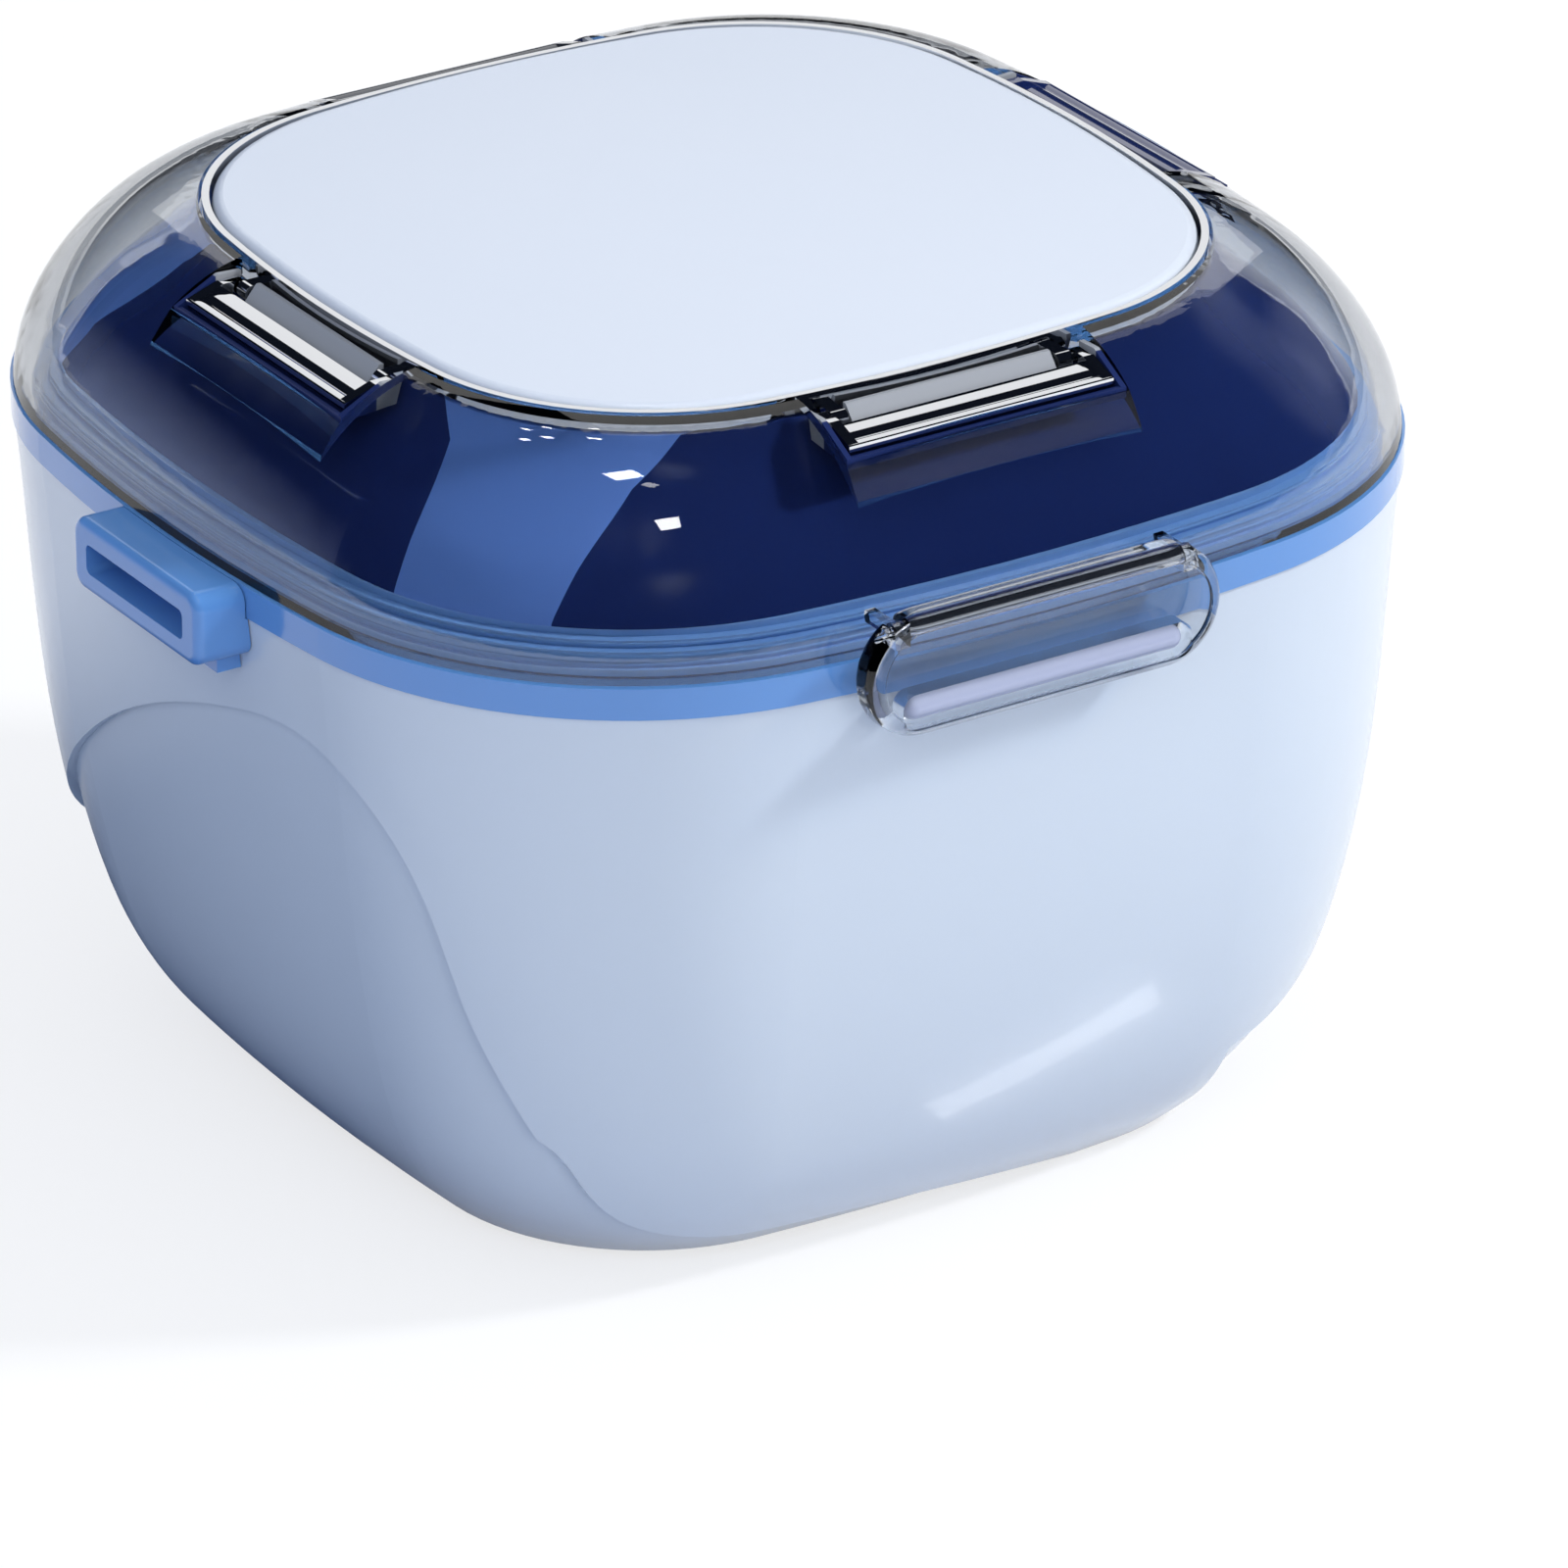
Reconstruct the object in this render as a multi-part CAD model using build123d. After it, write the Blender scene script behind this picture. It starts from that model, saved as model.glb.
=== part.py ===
from build123d import *
import math
import os

# Denture case. Millimetres, origin at the centre of the base, +Z up.
# The latch is on the -Y side, the hinge on the +Y side, the carrying loop on the -X side.
# Every plan outline is a rounded square of four side arcs and four corner arcs, given by its
# half-width and its reach, the ratio of its half-diagonal to its half-width. A profile is a
# list of stations up the body, and a body is lofted through evenly spaced points of it.

# ---------------------------------------------------------------- driving dimensions

# Outlines
CORNER_SHARE = 0.62  # corner radius as a share of the half-width, at the rim's reach
CORNER_SHARE_FALL = 2.0  # how fast that share falls as the reach grows
BASE_REACH = 1.166
RIM_REACH = 1.126
LID_TOP_REACH = 1.152
LINER_REACH = 1.143
PANEL_REACH = 1.136
LOFT_STATIONS = 9

# Collar between tub and lid: the widest piece, which sets the others' widths
COLLAR_HALF = 54.0
COLLAR_OVERHANG = 0.2
COLLAR_BAND = 2.8
SPIGOT_WALL = 2.2
SPIGOT_DEPTH = 4.0
LIP_WIDTH = 1.2
LIP_HEIGHT = 1.1

# Tub
TUB_HEIGHT = 58.5
TUB_WALL = 2.0
TUB_FLOOR = 2.4
TUB_FOOT_INSET = 15.6
TUB_SHAPE = (  # share of the height, share of the foot's inset
    (0.0, 1.0),
    (0.035, 0.853),
    (0.09, 0.692),
    (0.18, 0.506),
    (0.34, 0.314),
    (0.58, 0.154),
    (1.0, 0.0),
)
SCALLOP_DEPTH = 0.8
SCALLOP_REACH = 30.0
SCALLOP_BELOW = 5.0
SCALLOP_SIDE = (  # (along the side, height) of the sunk field's edge on a side wall
    (-46.0, -4.5),
    (-41.4, -3.0),
    (-39.6, 3.5),
    (-38.6, 10.5),
    (-37.4, 18.5),
    (-35.0, 29.0),
    (-33.0, 38.0),
    (-29.0, 45.0),
    (-21.0, 49.5),
    (-8.0, 48.0),
    (8.0, 41.5),
    (17.0, 36.0),
    (24.0, 30.5),
    (36.0, 18.0),
    (50.0, 4.0),
)
SCALLOP_FOOT = (  # (along the front, height) where the sunk field runs out under the front
    (-46.0, 17.0),
    (-39.9, 16.0),
    (-36.5, 11.0),
    (-32.6, 6.9),
    (-25.5, 4.2),
    (-13.4, 3.2),
    (8.0, 0.9),
    (16.0, -0.5),
)
FOOT_LAND = 6.2
FOOT_GROOVE_WIDTH = 8.0
FOOT_GROOVE = 0.8

# Clear lid
LID_GAP = 0.2
LID_WALL = 1.6
LID_OVER_LINER = 2.3
LID_UNDERCUT = 3.5
LID_SHAPE = (  # share of the height, share of the way in to the panel's opening
    (0.0, 0.0),
    (0.132, 0.027),
    (0.275, 0.07),
    (0.425, 0.14),
    (0.575, 0.231),
    (0.725, 0.35),
    (0.844, 0.478),
    (0.934, 0.618),
    (1.0, 1.0),
)

# Seal ring inside the lid, stepped on its outside
RING_SEAT_GAP = 0.1
RING_OVERLAP = 2.4
RING_STEPS = (  # height of each step, inset from the lid's inner wall
    (0.6, 0.2),
    (1.3, 0.6),
    (0.6, 1.4),
    (0.6, 2.2),
)
GASKET_THICKNESS = 0.5

# Liner dome under the clear lid
LINER_WALL = 1.5
LINER_HEIGHT = 11.2
LINER_STEP_IN = 0.6
LINER_SHAPE = (  # share of the height, share of the way in to the panel's bezel
    (0.0, 0.0),
    (0.17, 0.126),
    (0.357, 0.306),
    (0.491, 0.486),
    (0.705, 0.757),
    (1.0, 1.0),
)
STRAP_DEPTH = 0.7
STRAP_OUTLINE = (  # plan of one corner inlay, (x, y)
    (-34.0, -12.0),
    (-36.4, -17.3),
    (-38.3, -21.9),
    (-43.5, -25.4),
    (-54.0, -32.0),
    (-46.0, -46.0),
    (-39.8, -39.9),
    (-29.7, -36.0),
    (-19.8, -35.0),
    (-14.0, -34.0),
)

# Mirror under the liner
MIRROR_HALF = 29.0
MIRROR_THICKNESS = 1.5
MIRROR_FRAME_WIDTH = 2.4
MIRROR_FRAME_LIP = 1.0

# Top panel and its bezel
PANEL_HALF = 37.6
PANEL_SEAT_GAP = 0.2
PANEL_THICKNESS = 3.2
PANEL_CROWN = 0.6
PANEL_EDGE_ROUND = 1.0
BEZEL_GAP = 0.2
BEZEL_WIDTH = 0.6
BEZEL_HEIGHT = 2.3
OPENING_GAP = 0.3

# Four folding pulls beside the panel: u runs along the side, v outwards from the centre
PULL_SHIFTS = (-0.7, 0.0, 0.0, 1.3)  # along u, in the order front, right, back, left
PULL_HALF_LENGTH = 13.1
PULL_ARM = 1.0
PULL_WIDTH = 3.3
PULL_THICKNESS = 1.1
PULL_CROWN = 0.16
PULL_GROOVE = 0.12
PULL_LIP = 1.1
PULL_LIP_CROWN = 0.1
PULL_LIP_THICKNESS = 0.55
PULL_RISE = 0.4
PULL_FALL = 0.5
PULL_SHOULDER = 1.9
PULL_PIVOT_OUT = 0.9
PULL_PIVOT_RISE = 0.2
PULL_PIN_RADIUS = 0.4
PULL_EYE_RADIUS = 0.75
PULL_BAR_GAP = 0.9
PULL_SWING_GAP = 0.3
LUG_WIDTH = 1.4
PULL_SIDE_GAP = 0.25
CUP_FLOOR = 0.5
CUP_WALL = 0.5
CUP_SLOPE_RISE = 1.2
CUP_SLOPE_WALL = 0.4
CUP_BELOW_LID = 0.15
NOTCH_GAP = 0.2
NOTCH_LAND = 0.3
NOTCH_DRAFT = 0.47
NOTCH_DRAFT_DEPTH = 3.0

# Latch
LATCH_X = -2.8
LATCH_LENGTH = 35.0
LATCH_HEIGHT = 11.0
LATCH_THICKNESS = 3.2
LATCH_BELOW_PARTING = 0.6
LATCH_STANDOFF = 0.6
LATCH_EDGE_ROUND = 1.4
LATCH_BACK_ROUND = 1.0
LATCH_RIM = 1.3
LATCH_RECESS = 0.3
LATCH_RECESS_ROUND = 0.2
LATCH_PIN_RADIUS = 0.5
LATCH_PIN_LENGTH = 30.0
LATCH_PIN_RISE = 4.1
LATCH_EYE_RADIUS = 0.85
LATCH_LUG_SPACING = 28.4
LATCH_LUG_WIDTH = 1.0
LATCH_LUG_NECK = 1.0
LATCH_POCKET_GAP = 0.2
CATCH_RADIUS = 1.05
CATCH_LENGTH = 25.4
CATCH_DROP = 0.8
CATCH_FORWARD = 0.2
CATCH_LEG = 1.6
SLOT_GAP = 0.55
SLOT_CORNER = 1.3

# Carrying loop
LOOP_Y = -3.0
LOOP_LENGTH = 21.0
LOOP_HEIGHT = 6.6
LOOP_REACH = 4.3
LOOP_TOP_BELOW_LID = 0.2
LOOP_SLOT_LENGTH = 16.2
LOOP_SLOT_HEIGHT = 2.7
LOOP_SLOT_DEPTH = 3.6
LOOP_ROUND = 1.6
LOOP_SLOT_ROUND = 0.6
LOOP_FOOT_LENGTH = 17.0
LOOP_FOOT_DROP = 1.6
LOOP_FOOT_REACH = 1.3

# Hinge
HINGE_OFFSET = 3.0
HINGE_PIN_RADIUS = 1.0
KNUCKLE_RADIUS = 2.4
KNUCKLE_CENTRE_LENGTH = 16.0
KNUCKLE_SIDE_LENGTH = 8.0
LEAF_THICKNESS = 1.4
LEAF_RISE = 6.0
LEAF_DROP = 8.0
KNUCKLE_GAP = 0.4

# Strainer basket and its handle
BASKET_SIDE_GAP = 6.6
BASKET_BELOW_RIM = 8.5
BASKET_FOOT_HEIGHT = 2.6
BASKET_SEAT_GAP = 0.1
BASKET_WALL = 1.4
BASKET_FLOOR = 1.6
BASKET_FOOT_INSET = 8.7
BASKET_SHAPE = (  # share of the height, share of the foot's inset
    (0.0, 1.0),
    (0.07, 0.667),
    (0.2, 0.368),
    (0.5, 0.103),
    (1.0, 0.0),
)
BASKET_RIM_WIDTH = 1.0
BASKET_RIM_HEIGHT = 1.4
BASKET_FOOT_RADIUS = 3.0
BASKET_FOOT_SPACING = 44.0
DRAIN_RADIUS = 2.0
DRAIN_PITCH = 9.5
DRAIN_ROWS = 5
VENT_WIDTH = 3.0
VENT_ABOVE_FLOOR = 11.0
VENT_BELOW_TOP = 12.0
VENT_PITCH = 11.0
VENT_COUNT = 5
HANDLE_BELOW_TOP = 3.5
HANDLE_ARCH = 14.0
HANDLE_WIDTH = 3.0
HANDLE_THICKNESS = 1.8
HANDLE_SIDE_GAP = 0.4
HANDLE_PIN_RADIUS = 0.9
HANDLE_EYE_RADIUS = 2.0

# Clearances between pieces
FIT = 0.05  # radial, pin in its hole
BOND = 0.1  # between two pieces glued or clipped together
SLIDE = 0.3  # between pieces that move past each other
OVERRUN = 2.0  # how far a cutting tool runs past the face it cuts

# ---------------------------------------------------------------- worked-out levels

PARTING_Z = TUB_HEIGHT + COLLAR_BAND
TUB_RIM_HALF = COLLAR_HALF - COLLAR_OVERHANG
TUB_INNER_HALF = TUB_RIM_HALF - TUB_WALL
TUB_FOOT_HALF = TUB_RIM_HALF - TUB_FOOT_INSET
COLLAR_INNER_HALF = TUB_INNER_HALF - SPIGOT_WALL
COLLAR_OUT_TO_LIP = COLLAR_INNER_HALF + LIP_WIDTH
LID_HALF = COLLAR_HALF - COLLAR_OVERHANG
LID_BASE_Z = PARTING_Z + LID_GAP
RING_BASE_Z = LID_BASE_Z + RING_SEAT_GAP
RING_INNER_HALF = COLLAR_INNER_HALF - RING_OVERLAP
LINER_HALF = LID_HALF - LID_WALL - RING_STEPS[-1][1] - LINER_STEP_IN
LINER_BASE_Z = RING_BASE_Z + sum(step for step, _ in RING_STEPS)
LINER_TOP_Z = LINER_BASE_Z + LINER_HEIGHT
LINER_CEILING_Z = LINER_TOP_Z - LINER_WALL
LID_TOP_Z = LINER_TOP_Z + LID_OVER_LINER
PANEL_BASE_Z = LINER_TOP_Z + PANEL_SEAT_GAP
BEZEL_INNER = PANEL_HALF + BEZEL_GAP
BEZEL_OUTER = BEZEL_INNER + BEZEL_WIDTH
OPENING_HALF = BEZEL_OUTER + OPENING_GAP
LATCH_CENTRE_Z = PARTING_Z - LATCH_BELOW_PARTING
PULL_PIVOT_V = BEZEL_OUTER + PULL_PIVOT_OUT
PULL_PIVOT_Z = PANEL_BASE_Z + PULL_PIVOT_RISE
PULL_INNER = PULL_PIVOT_V + PULL_EYE_RADIUS + PULL_BAR_GAP
PULL_OUTER = PULL_INNER + PULL_WIDTH
PULL_INNER_Z = PANEL_BASE_Z + PULL_RISE
PULL_OUTER_Z = PULL_INNER_Z - PULL_FALL
CUP_HALF = PULL_HALF_LENGTH + PULL_SIDE_GAP + CUP_WALL
CUP_OUTER = PULL_OUTER + PULL_SWING_GAP + CUP_WALL
BASKET_HALF = TUB_INNER_HALF - BASKET_SIDE_GAP
BASKET_TOP = TUB_HEIGHT - BASKET_BELOW_RIM
BASKET_BOTTOM = TUB_FLOOR + BASKET_FOOT_HEIGHT


# ---------------------------------------------------------------- shape helpers

def outline(half_width, reach, height):
    """Closed wire of a rounded square at one height."""
    corner = half_width * (CORNER_SHARE - CORNER_SHARE_FALL * (reach - RIM_REACH))
    inset = (half_width * reach - corner) / math.sqrt(2)
    beyond = half_width - inset
    side = (inset ** 2 + beyond ** 2 - corner ** 2) / (2 * (beyond - corner))
    side_centre = half_width - side
    length = math.hypot(inset - side_centre, inset)
    join_x = side_centre + side * (inset - side_centre) / length
    join_y = side * inset / length
    diagonal = half_width * reach / math.sqrt(2)
    low_join, high_join = (join_x, -join_y, height), (join_x, join_y, height)
    side_arc = ThreePointArc(low_join, (half_width, 0, height), high_join)
    corner_arc = ThreePointArc(high_join, (diagonal, diagonal, height), (join_y, join_x, height))
    edges = []
    for quarter in range(4):
        turn = Rot(0, 0, 90 * quarter)
        edges += [turn * side_arc, turn * corner_arc]
    return Wire(edges)


def even_stations(stations):
    """The same profile as evenly spaced points of one smooth curve."""
    curve = Spline([(half, height, reach) for height, half, reach in stations])
    points = [curve @ (step / (LOFT_STATIONS - 1)) for step in range(LOFT_STATIONS)]
    return [(point.Y, point.X, point.Z) for point in points]


def lofted(stations):
    """Solid through stations of (height, half-width, reach)."""
    wires = [outline(half, reach, height) for height, half, reach in stations]
    return Part() + Solid.make_loft(wires)


def slab(half_width, reach, low, high):
    """Straight-sided block with a rounded-square plan."""
    face = Face(outline(half_width, reach, low))
    return Part() + Solid.extrude(face, Vector(0, 0, high - low))


def ring(outer, inner, reach, low, high):
    """Straight-sided rounded-square ring."""
    core = slab(inner, reach, low - OVERRUN, high + OVERRUN)
    return slab(outer, reach, low, high) - core


def offset_profile(profile, distance):
    """Stations (height, half-width, reach) moved outwards along the profile's normal."""
    moved = []
    last = len(profile) - 1
    for index, (height, half, reach) in enumerate(profile):
        before = profile[max(index - 1, 0)]
        after = profile[min(index + 1, last)]
        rise, run = after[0] - before[0], after[1] - before[1]
        length = math.hypot(rise, run)
        moved.append((height - distance * run / length, half + distance * rise / length, reach))
    return moved


def box_between(low, high):
    """Box from its lowest to its highest corner."""
    size = [b - a for a, b in zip(low, high)]
    centre = [(a + b) / 2 for a, b in zip(low, high)]
    return Pos(*centre) * Box(*size)


def rod(start, end, radius):
    """Round rod from one point to another along X, Y or Z."""
    axis = Vector(*end) - Vector(*start)
    plane = Plane(origin=start, z_dir=axis)
    return extrude(plane * Circle(radius), axis.length)


def side_prism(points, u_low, u_high):
    """Prism of a (v, z) outline on the front side, from u_low to u_high along +X."""
    corners = [(u_low, -v, z) for v, z in points]
    face = Face(Wire(Polyline(*corners, close=True).edges()))
    return Part() + Solid.extrude(face, Vector(u_high - u_low, 0, 0))


def around(part, quarter_turns):
    """The front-side piece turned to another side: 0 front, 1 right, 2 back, 3 left."""
    return Rot(0, 0, 90 * quarter_turns) * part


def beside_panel(part, quarter_turns):
    """The front pull's piece turned to another side, with that side's shift."""
    return around(Pos(PULL_SHIFTS[quarter_turns], 0, 0) * part, quarter_turns)


def tub_stations(offset=0.0):
    """Outer stations of the tub, moved outwards by an offset."""
    stations = []
    for share, foot_share in TUB_SHAPE:
        reach = BASE_REACH + (RIM_REACH - BASE_REACH) * share
        half = TUB_RIM_HALF - TUB_FOOT_INSET * foot_share
        stations.append((share * TUB_HEIGHT, half, reach))
    return offset_profile(even_stations(stations), offset)


def lid_stations(offset=0.0):
    """Outer stations of the clear lid, moved outwards by an offset."""
    stations = []
    way_in = LID_HALF - (OPENING_HALF - LID_UNDERCUT)
    for share, in_share in LID_SHAPE:
        reach = RIM_REACH + (LID_TOP_REACH - RIM_REACH) * share
        height = LID_BASE_Z + (LID_TOP_Z - LID_BASE_Z) * share
        stations.append((height, LID_HALF - way_in * in_share, reach))
    return offset_profile(even_stations(stations), offset)


def liner_stations(offset=0.0):
    """Outer stations of the liner dome, moved outwards by an offset."""
    stations = []
    way_in = LINER_HALF - BEZEL_OUTER
    for share, in_share in LINER_SHAPE:
        height = LINER_BASE_Z + LINER_HEIGHT * share
        stations.append((height, LINER_HALF - way_in * in_share, LINER_REACH))
    return offset_profile(even_stations(stations), offset)


def half_at(stations, height):
    """Half-width of a profile at one height."""
    for (low, low_half, _), (high, high_half, _) in zip(stations, stations[1:]):
        if low <= height <= high:
            return low_half + (high_half - low_half) * (height - low) / (high - low)
    return stations[-1][1]


def run_down(stations, depth):
    """The same stations with one more below, straight down."""
    height, half, reach = stations[0]
    return [(height - depth, half, reach)] + stations


# ---------------------------------------------------------------- tub side

def under_curve(points, depth):
    """Prism of everything below a curve on the front side, from outside the tub inwards."""
    outside_y = -(TUB_RIM_HALF + OVERRUN)
    curve = [(along, outside_y, z) for along, z in points]
    (first_x, _, _), (last_x, _, _) = curve[0], curve[-1]
    below = ((last_x, outside_y, -SCALLOP_BELOW), (first_x, outside_y, -SCALLOP_BELOW))
    rest = Polyline(curve[-1], *below, curve[0])
    face = Face(Wire([Spline(curve)] + rest.edges()))
    return Part() + Solid.extrude(face, Vector(0, depth, 0))


def scallop_cutters():
    """Prisms that bound the sunk fields, on the -X side and half a turn round."""
    side = [(-along, z) for along, z in reversed(SCALLOP_SIDE)]
    cutter = around(under_curve(side, SCALLOP_REACH), 3)
    cutter += under_curve(SCALLOP_FOOT, SCALLOP_REACH)
    return cutter + around(cutter, 2)


def tub_inner_stations():
    """Stations of the tub's hollow, from its floor to past its rim."""
    stations = []
    for share, foot_share in TUB_SHAPE:
        reach = BASE_REACH + (RIM_REACH - BASE_REACH) * share
        height = TUB_FLOOR + share * (TUB_HEIGHT + OVERRUN - TUB_FLOOR)
        stations.append((height, TUB_INNER_HALF - TUB_FOOT_INSET * foot_share, reach))
    return even_stations(stations)


def make_tub():
    outer = lofted(tub_stations())
    skin = outer - lofted(tub_stations(-SCALLOP_DEPTH))
    sunk = skin & scallop_cutters()
    groove_half = TUB_FOOT_HALF - FOOT_LAND
    groove = ring(groove_half, groove_half - FOOT_GROOVE_WIDTH, BASE_REACH, -OVERRUN, FOOT_GROOVE)
    return outer - lofted(tub_inner_stations()) - sunk - groove


def make_rim_collar():
    lip_top = PARTING_Z + LIP_HEIGHT
    band = ring(COLLAR_HALF, COLLAR_INNER_HALF, RIM_REACH, TUB_HEIGHT, PARTING_Z)
    spigot_low = TUB_HEIGHT - SPIGOT_DEPTH
    spigot_half = half_at(tub_inner_stations(), spigot_low) - BOND
    spigot = ring(spigot_half, COLLAR_INNER_HALF, RIM_REACH, spigot_low, TUB_HEIGHT)
    lip = ring(COLLAR_OUT_TO_LIP, COLLAR_INNER_HALF, RIM_REACH, PARTING_Z, lip_top)
    return band + spigot + lip


def outside_of_body(clearance):
    """Everything within the tub and collar's outer surfaces, grown by a clearance."""
    collar = slab(COLLAR_HALF + clearance, RIM_REACH, TUB_HEIGHT - clearance, PARTING_Z)
    return lofted(tub_stations(clearance)) + collar


def make_side_loop():
    face_x = -(COLLAR_HALF + LOOP_REACH)
    top_z = LID_BASE_Z - LOOP_TOP_BELOW_LID
    middle_z = top_z - LOOP_HEIGHT / 2
    half = LOOP_LENGTH / 2
    root_x = -COLLAR_HALF + OVERRUN
    frame = box_between(
        (face_x, LOOP_Y - half, top_z - LOOP_HEIGHT), (root_x, LOOP_Y + half, top_z)
    )
    frame = fillet(frame.edges().filter_by(Axis.X), LOOP_ROUND)
    frame = fillet(frame.faces().sort_by(Axis.X)[0].edges(), LOOP_ROUND / 2)
    foot_half = LOOP_FOOT_LENGTH / 2
    foot = box_between(
        (-COLLAR_HALF - LOOP_FOOT_REACH, LOOP_Y - foot_half, top_z - LOOP_HEIGHT - LOOP_FOOT_DROP),
        (root_x, LOOP_Y + foot_half, top_z - LOOP_ROUND),
    )
    slot = box_between(
        (face_x - OVERRUN, LOOP_Y - LOOP_SLOT_LENGTH / 2, middle_z - LOOP_SLOT_HEIGHT / 2),
        (face_x + LOOP_SLOT_DEPTH, LOOP_Y + LOOP_SLOT_LENGTH / 2, middle_z + LOOP_SLOT_HEIGHT / 2),
    )
    slot = fillet(slot.edges().filter_by(Axis.X), LOOP_SLOT_ROUND)
    return frame + foot - slot - outside_of_body(BOND)


def latch_face_y():
    """Back face of the latch plate."""
    return -COLLAR_HALF - LATCH_STANDOFF


def latch_axis():
    """Y and Z of the latch pin."""
    return latch_face_y() - LATCH_THICKNESS / 2, LATCH_CENTRE_Z + LATCH_PIN_RISE


def catch_centre():
    """Y and Z of the catch bar."""
    return latch_face_y() - LATCH_THICKNESS / 2 - CATCH_FORWARD, TUB_HEIGHT - CATCH_DROP


def make_catch_bar():
    bar_y, bar_z = catch_centre()
    half = CATCH_LENGTH / 2
    bar = rod((LATCH_X - half, bar_y, bar_z), (LATCH_X + half, bar_y, bar_z), CATCH_RADIUS)
    legs = Part()
    for side in (-1, 1):
        leg_x = LATCH_X + side * (half - CATCH_LEG / 2)
        bar += Pos(LATCH_X + side * half, bar_y, bar_z) * Sphere(CATCH_RADIUS)
        legs += box_between(
            (leg_x - CATCH_LEG / 2, bar_y, bar_z - CATCH_LEG / 2),
            (leg_x + CATCH_LEG / 2, -TUB_RIM_HALF + 3 * OVERRUN, bar_z + CATCH_LEG / 2),
        )
    return bar + legs - outside_of_body(BOND)


# ---------------------------------------------------------------- hinge

def hinge_axis():
    """Y and Z of the hinge pin."""
    return COLLAR_HALF + HINGE_OFFSET, PARTING_Z + LID_GAP / 2


def knuckle(x_low, x_high, reach_z):
    """One hinge knuckle with an arm towards a leaf at reach_z."""
    axis_y, axis_z = hinge_axis()
    barrel = rod((x_low, axis_y, axis_z), (x_high, axis_y, axis_z), KNUCKLE_RADIUS)
    low, high = sorted((axis_z, reach_z))
    arm = box_between((x_low, COLLAR_HALF - OVERRUN, low), (x_high, axis_y, high))
    return barrel + arm


def barrel_space(x_low, x_high):
    """Room around the other leaf's knuckle."""
    axis_y, axis_z = hinge_axis()
    return rod((x_low, axis_y, axis_z), (x_high, axis_y, axis_z), KNUCKLE_RADIUS + KNUCKLE_GAP)


def hinge_bore():
    axis_y, axis_z = hinge_axis()
    half = KNUCKLE_CENTRE_LENGTH / 2 + KNUCKLE_SIDE_LENGTH + KNUCKLE_GAP + OVERRUN
    return rod((-half, axis_y, axis_z), (half, axis_y, axis_z), HINGE_PIN_RADIUS + FIT)


def make_tub_hinge_leaf():
    axis_z = hinge_axis()[1]
    inner = KNUCKLE_CENTRE_LENGTH / 2 + KNUCKLE_GAP
    outer = inner + KNUCKLE_SIDE_LENGTH
    body_skin = lofted(tub_stations(LEAF_THICKNESS)) + slab(
        COLLAR_HALF + LEAF_THICKNESS, RIM_REACH, TUB_HEIGHT - OVERRUN, PARTING_Z - KNUCKLE_GAP
    )
    window = box_between(
        (-outer, COLLAR_HALF / 2, TUB_HEIGHT - LEAF_DROP),
        (outer, COLLAR_HALF + LEAF_THICKNESS + OVERRUN, PARTING_Z),
    )
    leaf = body_skin & window
    for side in (-1, 1):
        low, high = sorted((side * inner, side * outer))
        leaf += knuckle(low, high, axis_z - KNUCKLE_RADIUS)
    leaf -= barrel_space(-inner, inner)
    lid_side = lofted(run_down(lid_stations(SLIDE), LID_GAP + BOND))
    return leaf - outside_of_body(BOND) - lid_side - hinge_bore()


def make_lid_hinge_leaf():
    axis_z = hinge_axis()[1]
    half = KNUCKLE_CENTRE_LENGTH / 2
    outer = half + KNUCKLE_GAP + KNUCKLE_SIDE_LENGTH
    window = box_between(
        (-outer, COLLAR_HALF / 2, LID_BASE_Z + KNUCKLE_GAP),
        (outer, COLLAR_HALF + LEAF_THICKNESS + OVERRUN, LID_BASE_Z + LEAF_RISE),
    )
    leaf = lofted(lid_stations(LEAF_THICKNESS)) & window
    leaf += knuckle(-half, half, axis_z + KNUCKLE_RADIUS)
    for side in (-1, 1):
        low, high = sorted((side * half, side * (outer + OVERRUN)))
        leaf -= barrel_space(low, high)
    below = box_between(
        (-outer, COLLAR_HALF / 2, TUB_HEIGHT), (outer, COLLAR_HALF + SLIDE, LID_BASE_Z)
    )
    return leaf - lofted(run_down(lid_stations(BOND), OVERRUN)) - below - hinge_bore()


def make_hinge_pin():
    axis_y, axis_z = hinge_axis()
    half = KNUCKLE_CENTRE_LENGTH / 2 + KNUCKLE_GAP + KNUCKLE_SIDE_LENGTH
    return rod((-half, axis_y, axis_z), (half, axis_y, axis_z), HINGE_PIN_RADIUS)


# ---------------------------------------------------------------- lid

def lid_surface_z(v):
    """Height of the clear lid's outside at a distance v from the centre."""
    stations = lid_stations()
    for (low_z, low_w, _), (high_z, high_w, _) in zip(stations, stations[1:]):
        if high_w <= v <= low_w:
            return high_z + (low_z - high_z) * (v - high_w) / (low_w - high_w)
    return stations[-1][0]


def notch_cutters():
    """Four notches in the clear lid, wider at the inside as a core leaves them."""
    half = CUP_HALF + NOTCH_GAP
    outer = CUP_OUTER + NOTCH_GAP
    low, high = LINER_BASE_Z + OVERRUN, LID_TOP_Z + OVERRUN
    surface_z = lid_surface_z(outer)
    wide = outer + NOTCH_DRAFT * NOTCH_DRAFT_DEPTH
    outline_points = (
        (OPENING_HALF / 2, low),
        (wide, low),
        (wide, surface_z - NOTCH_LAND - NOTCH_DRAFT_DEPTH),
        (outer, surface_z - NOTCH_LAND),
        (outer, high),
        (OPENING_HALF / 2, high),
    )
    cutters = Part()
    for turn in range(4):
        cutters += beside_panel(side_prism(outline_points, -half, half), turn)
    return cutters


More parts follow.
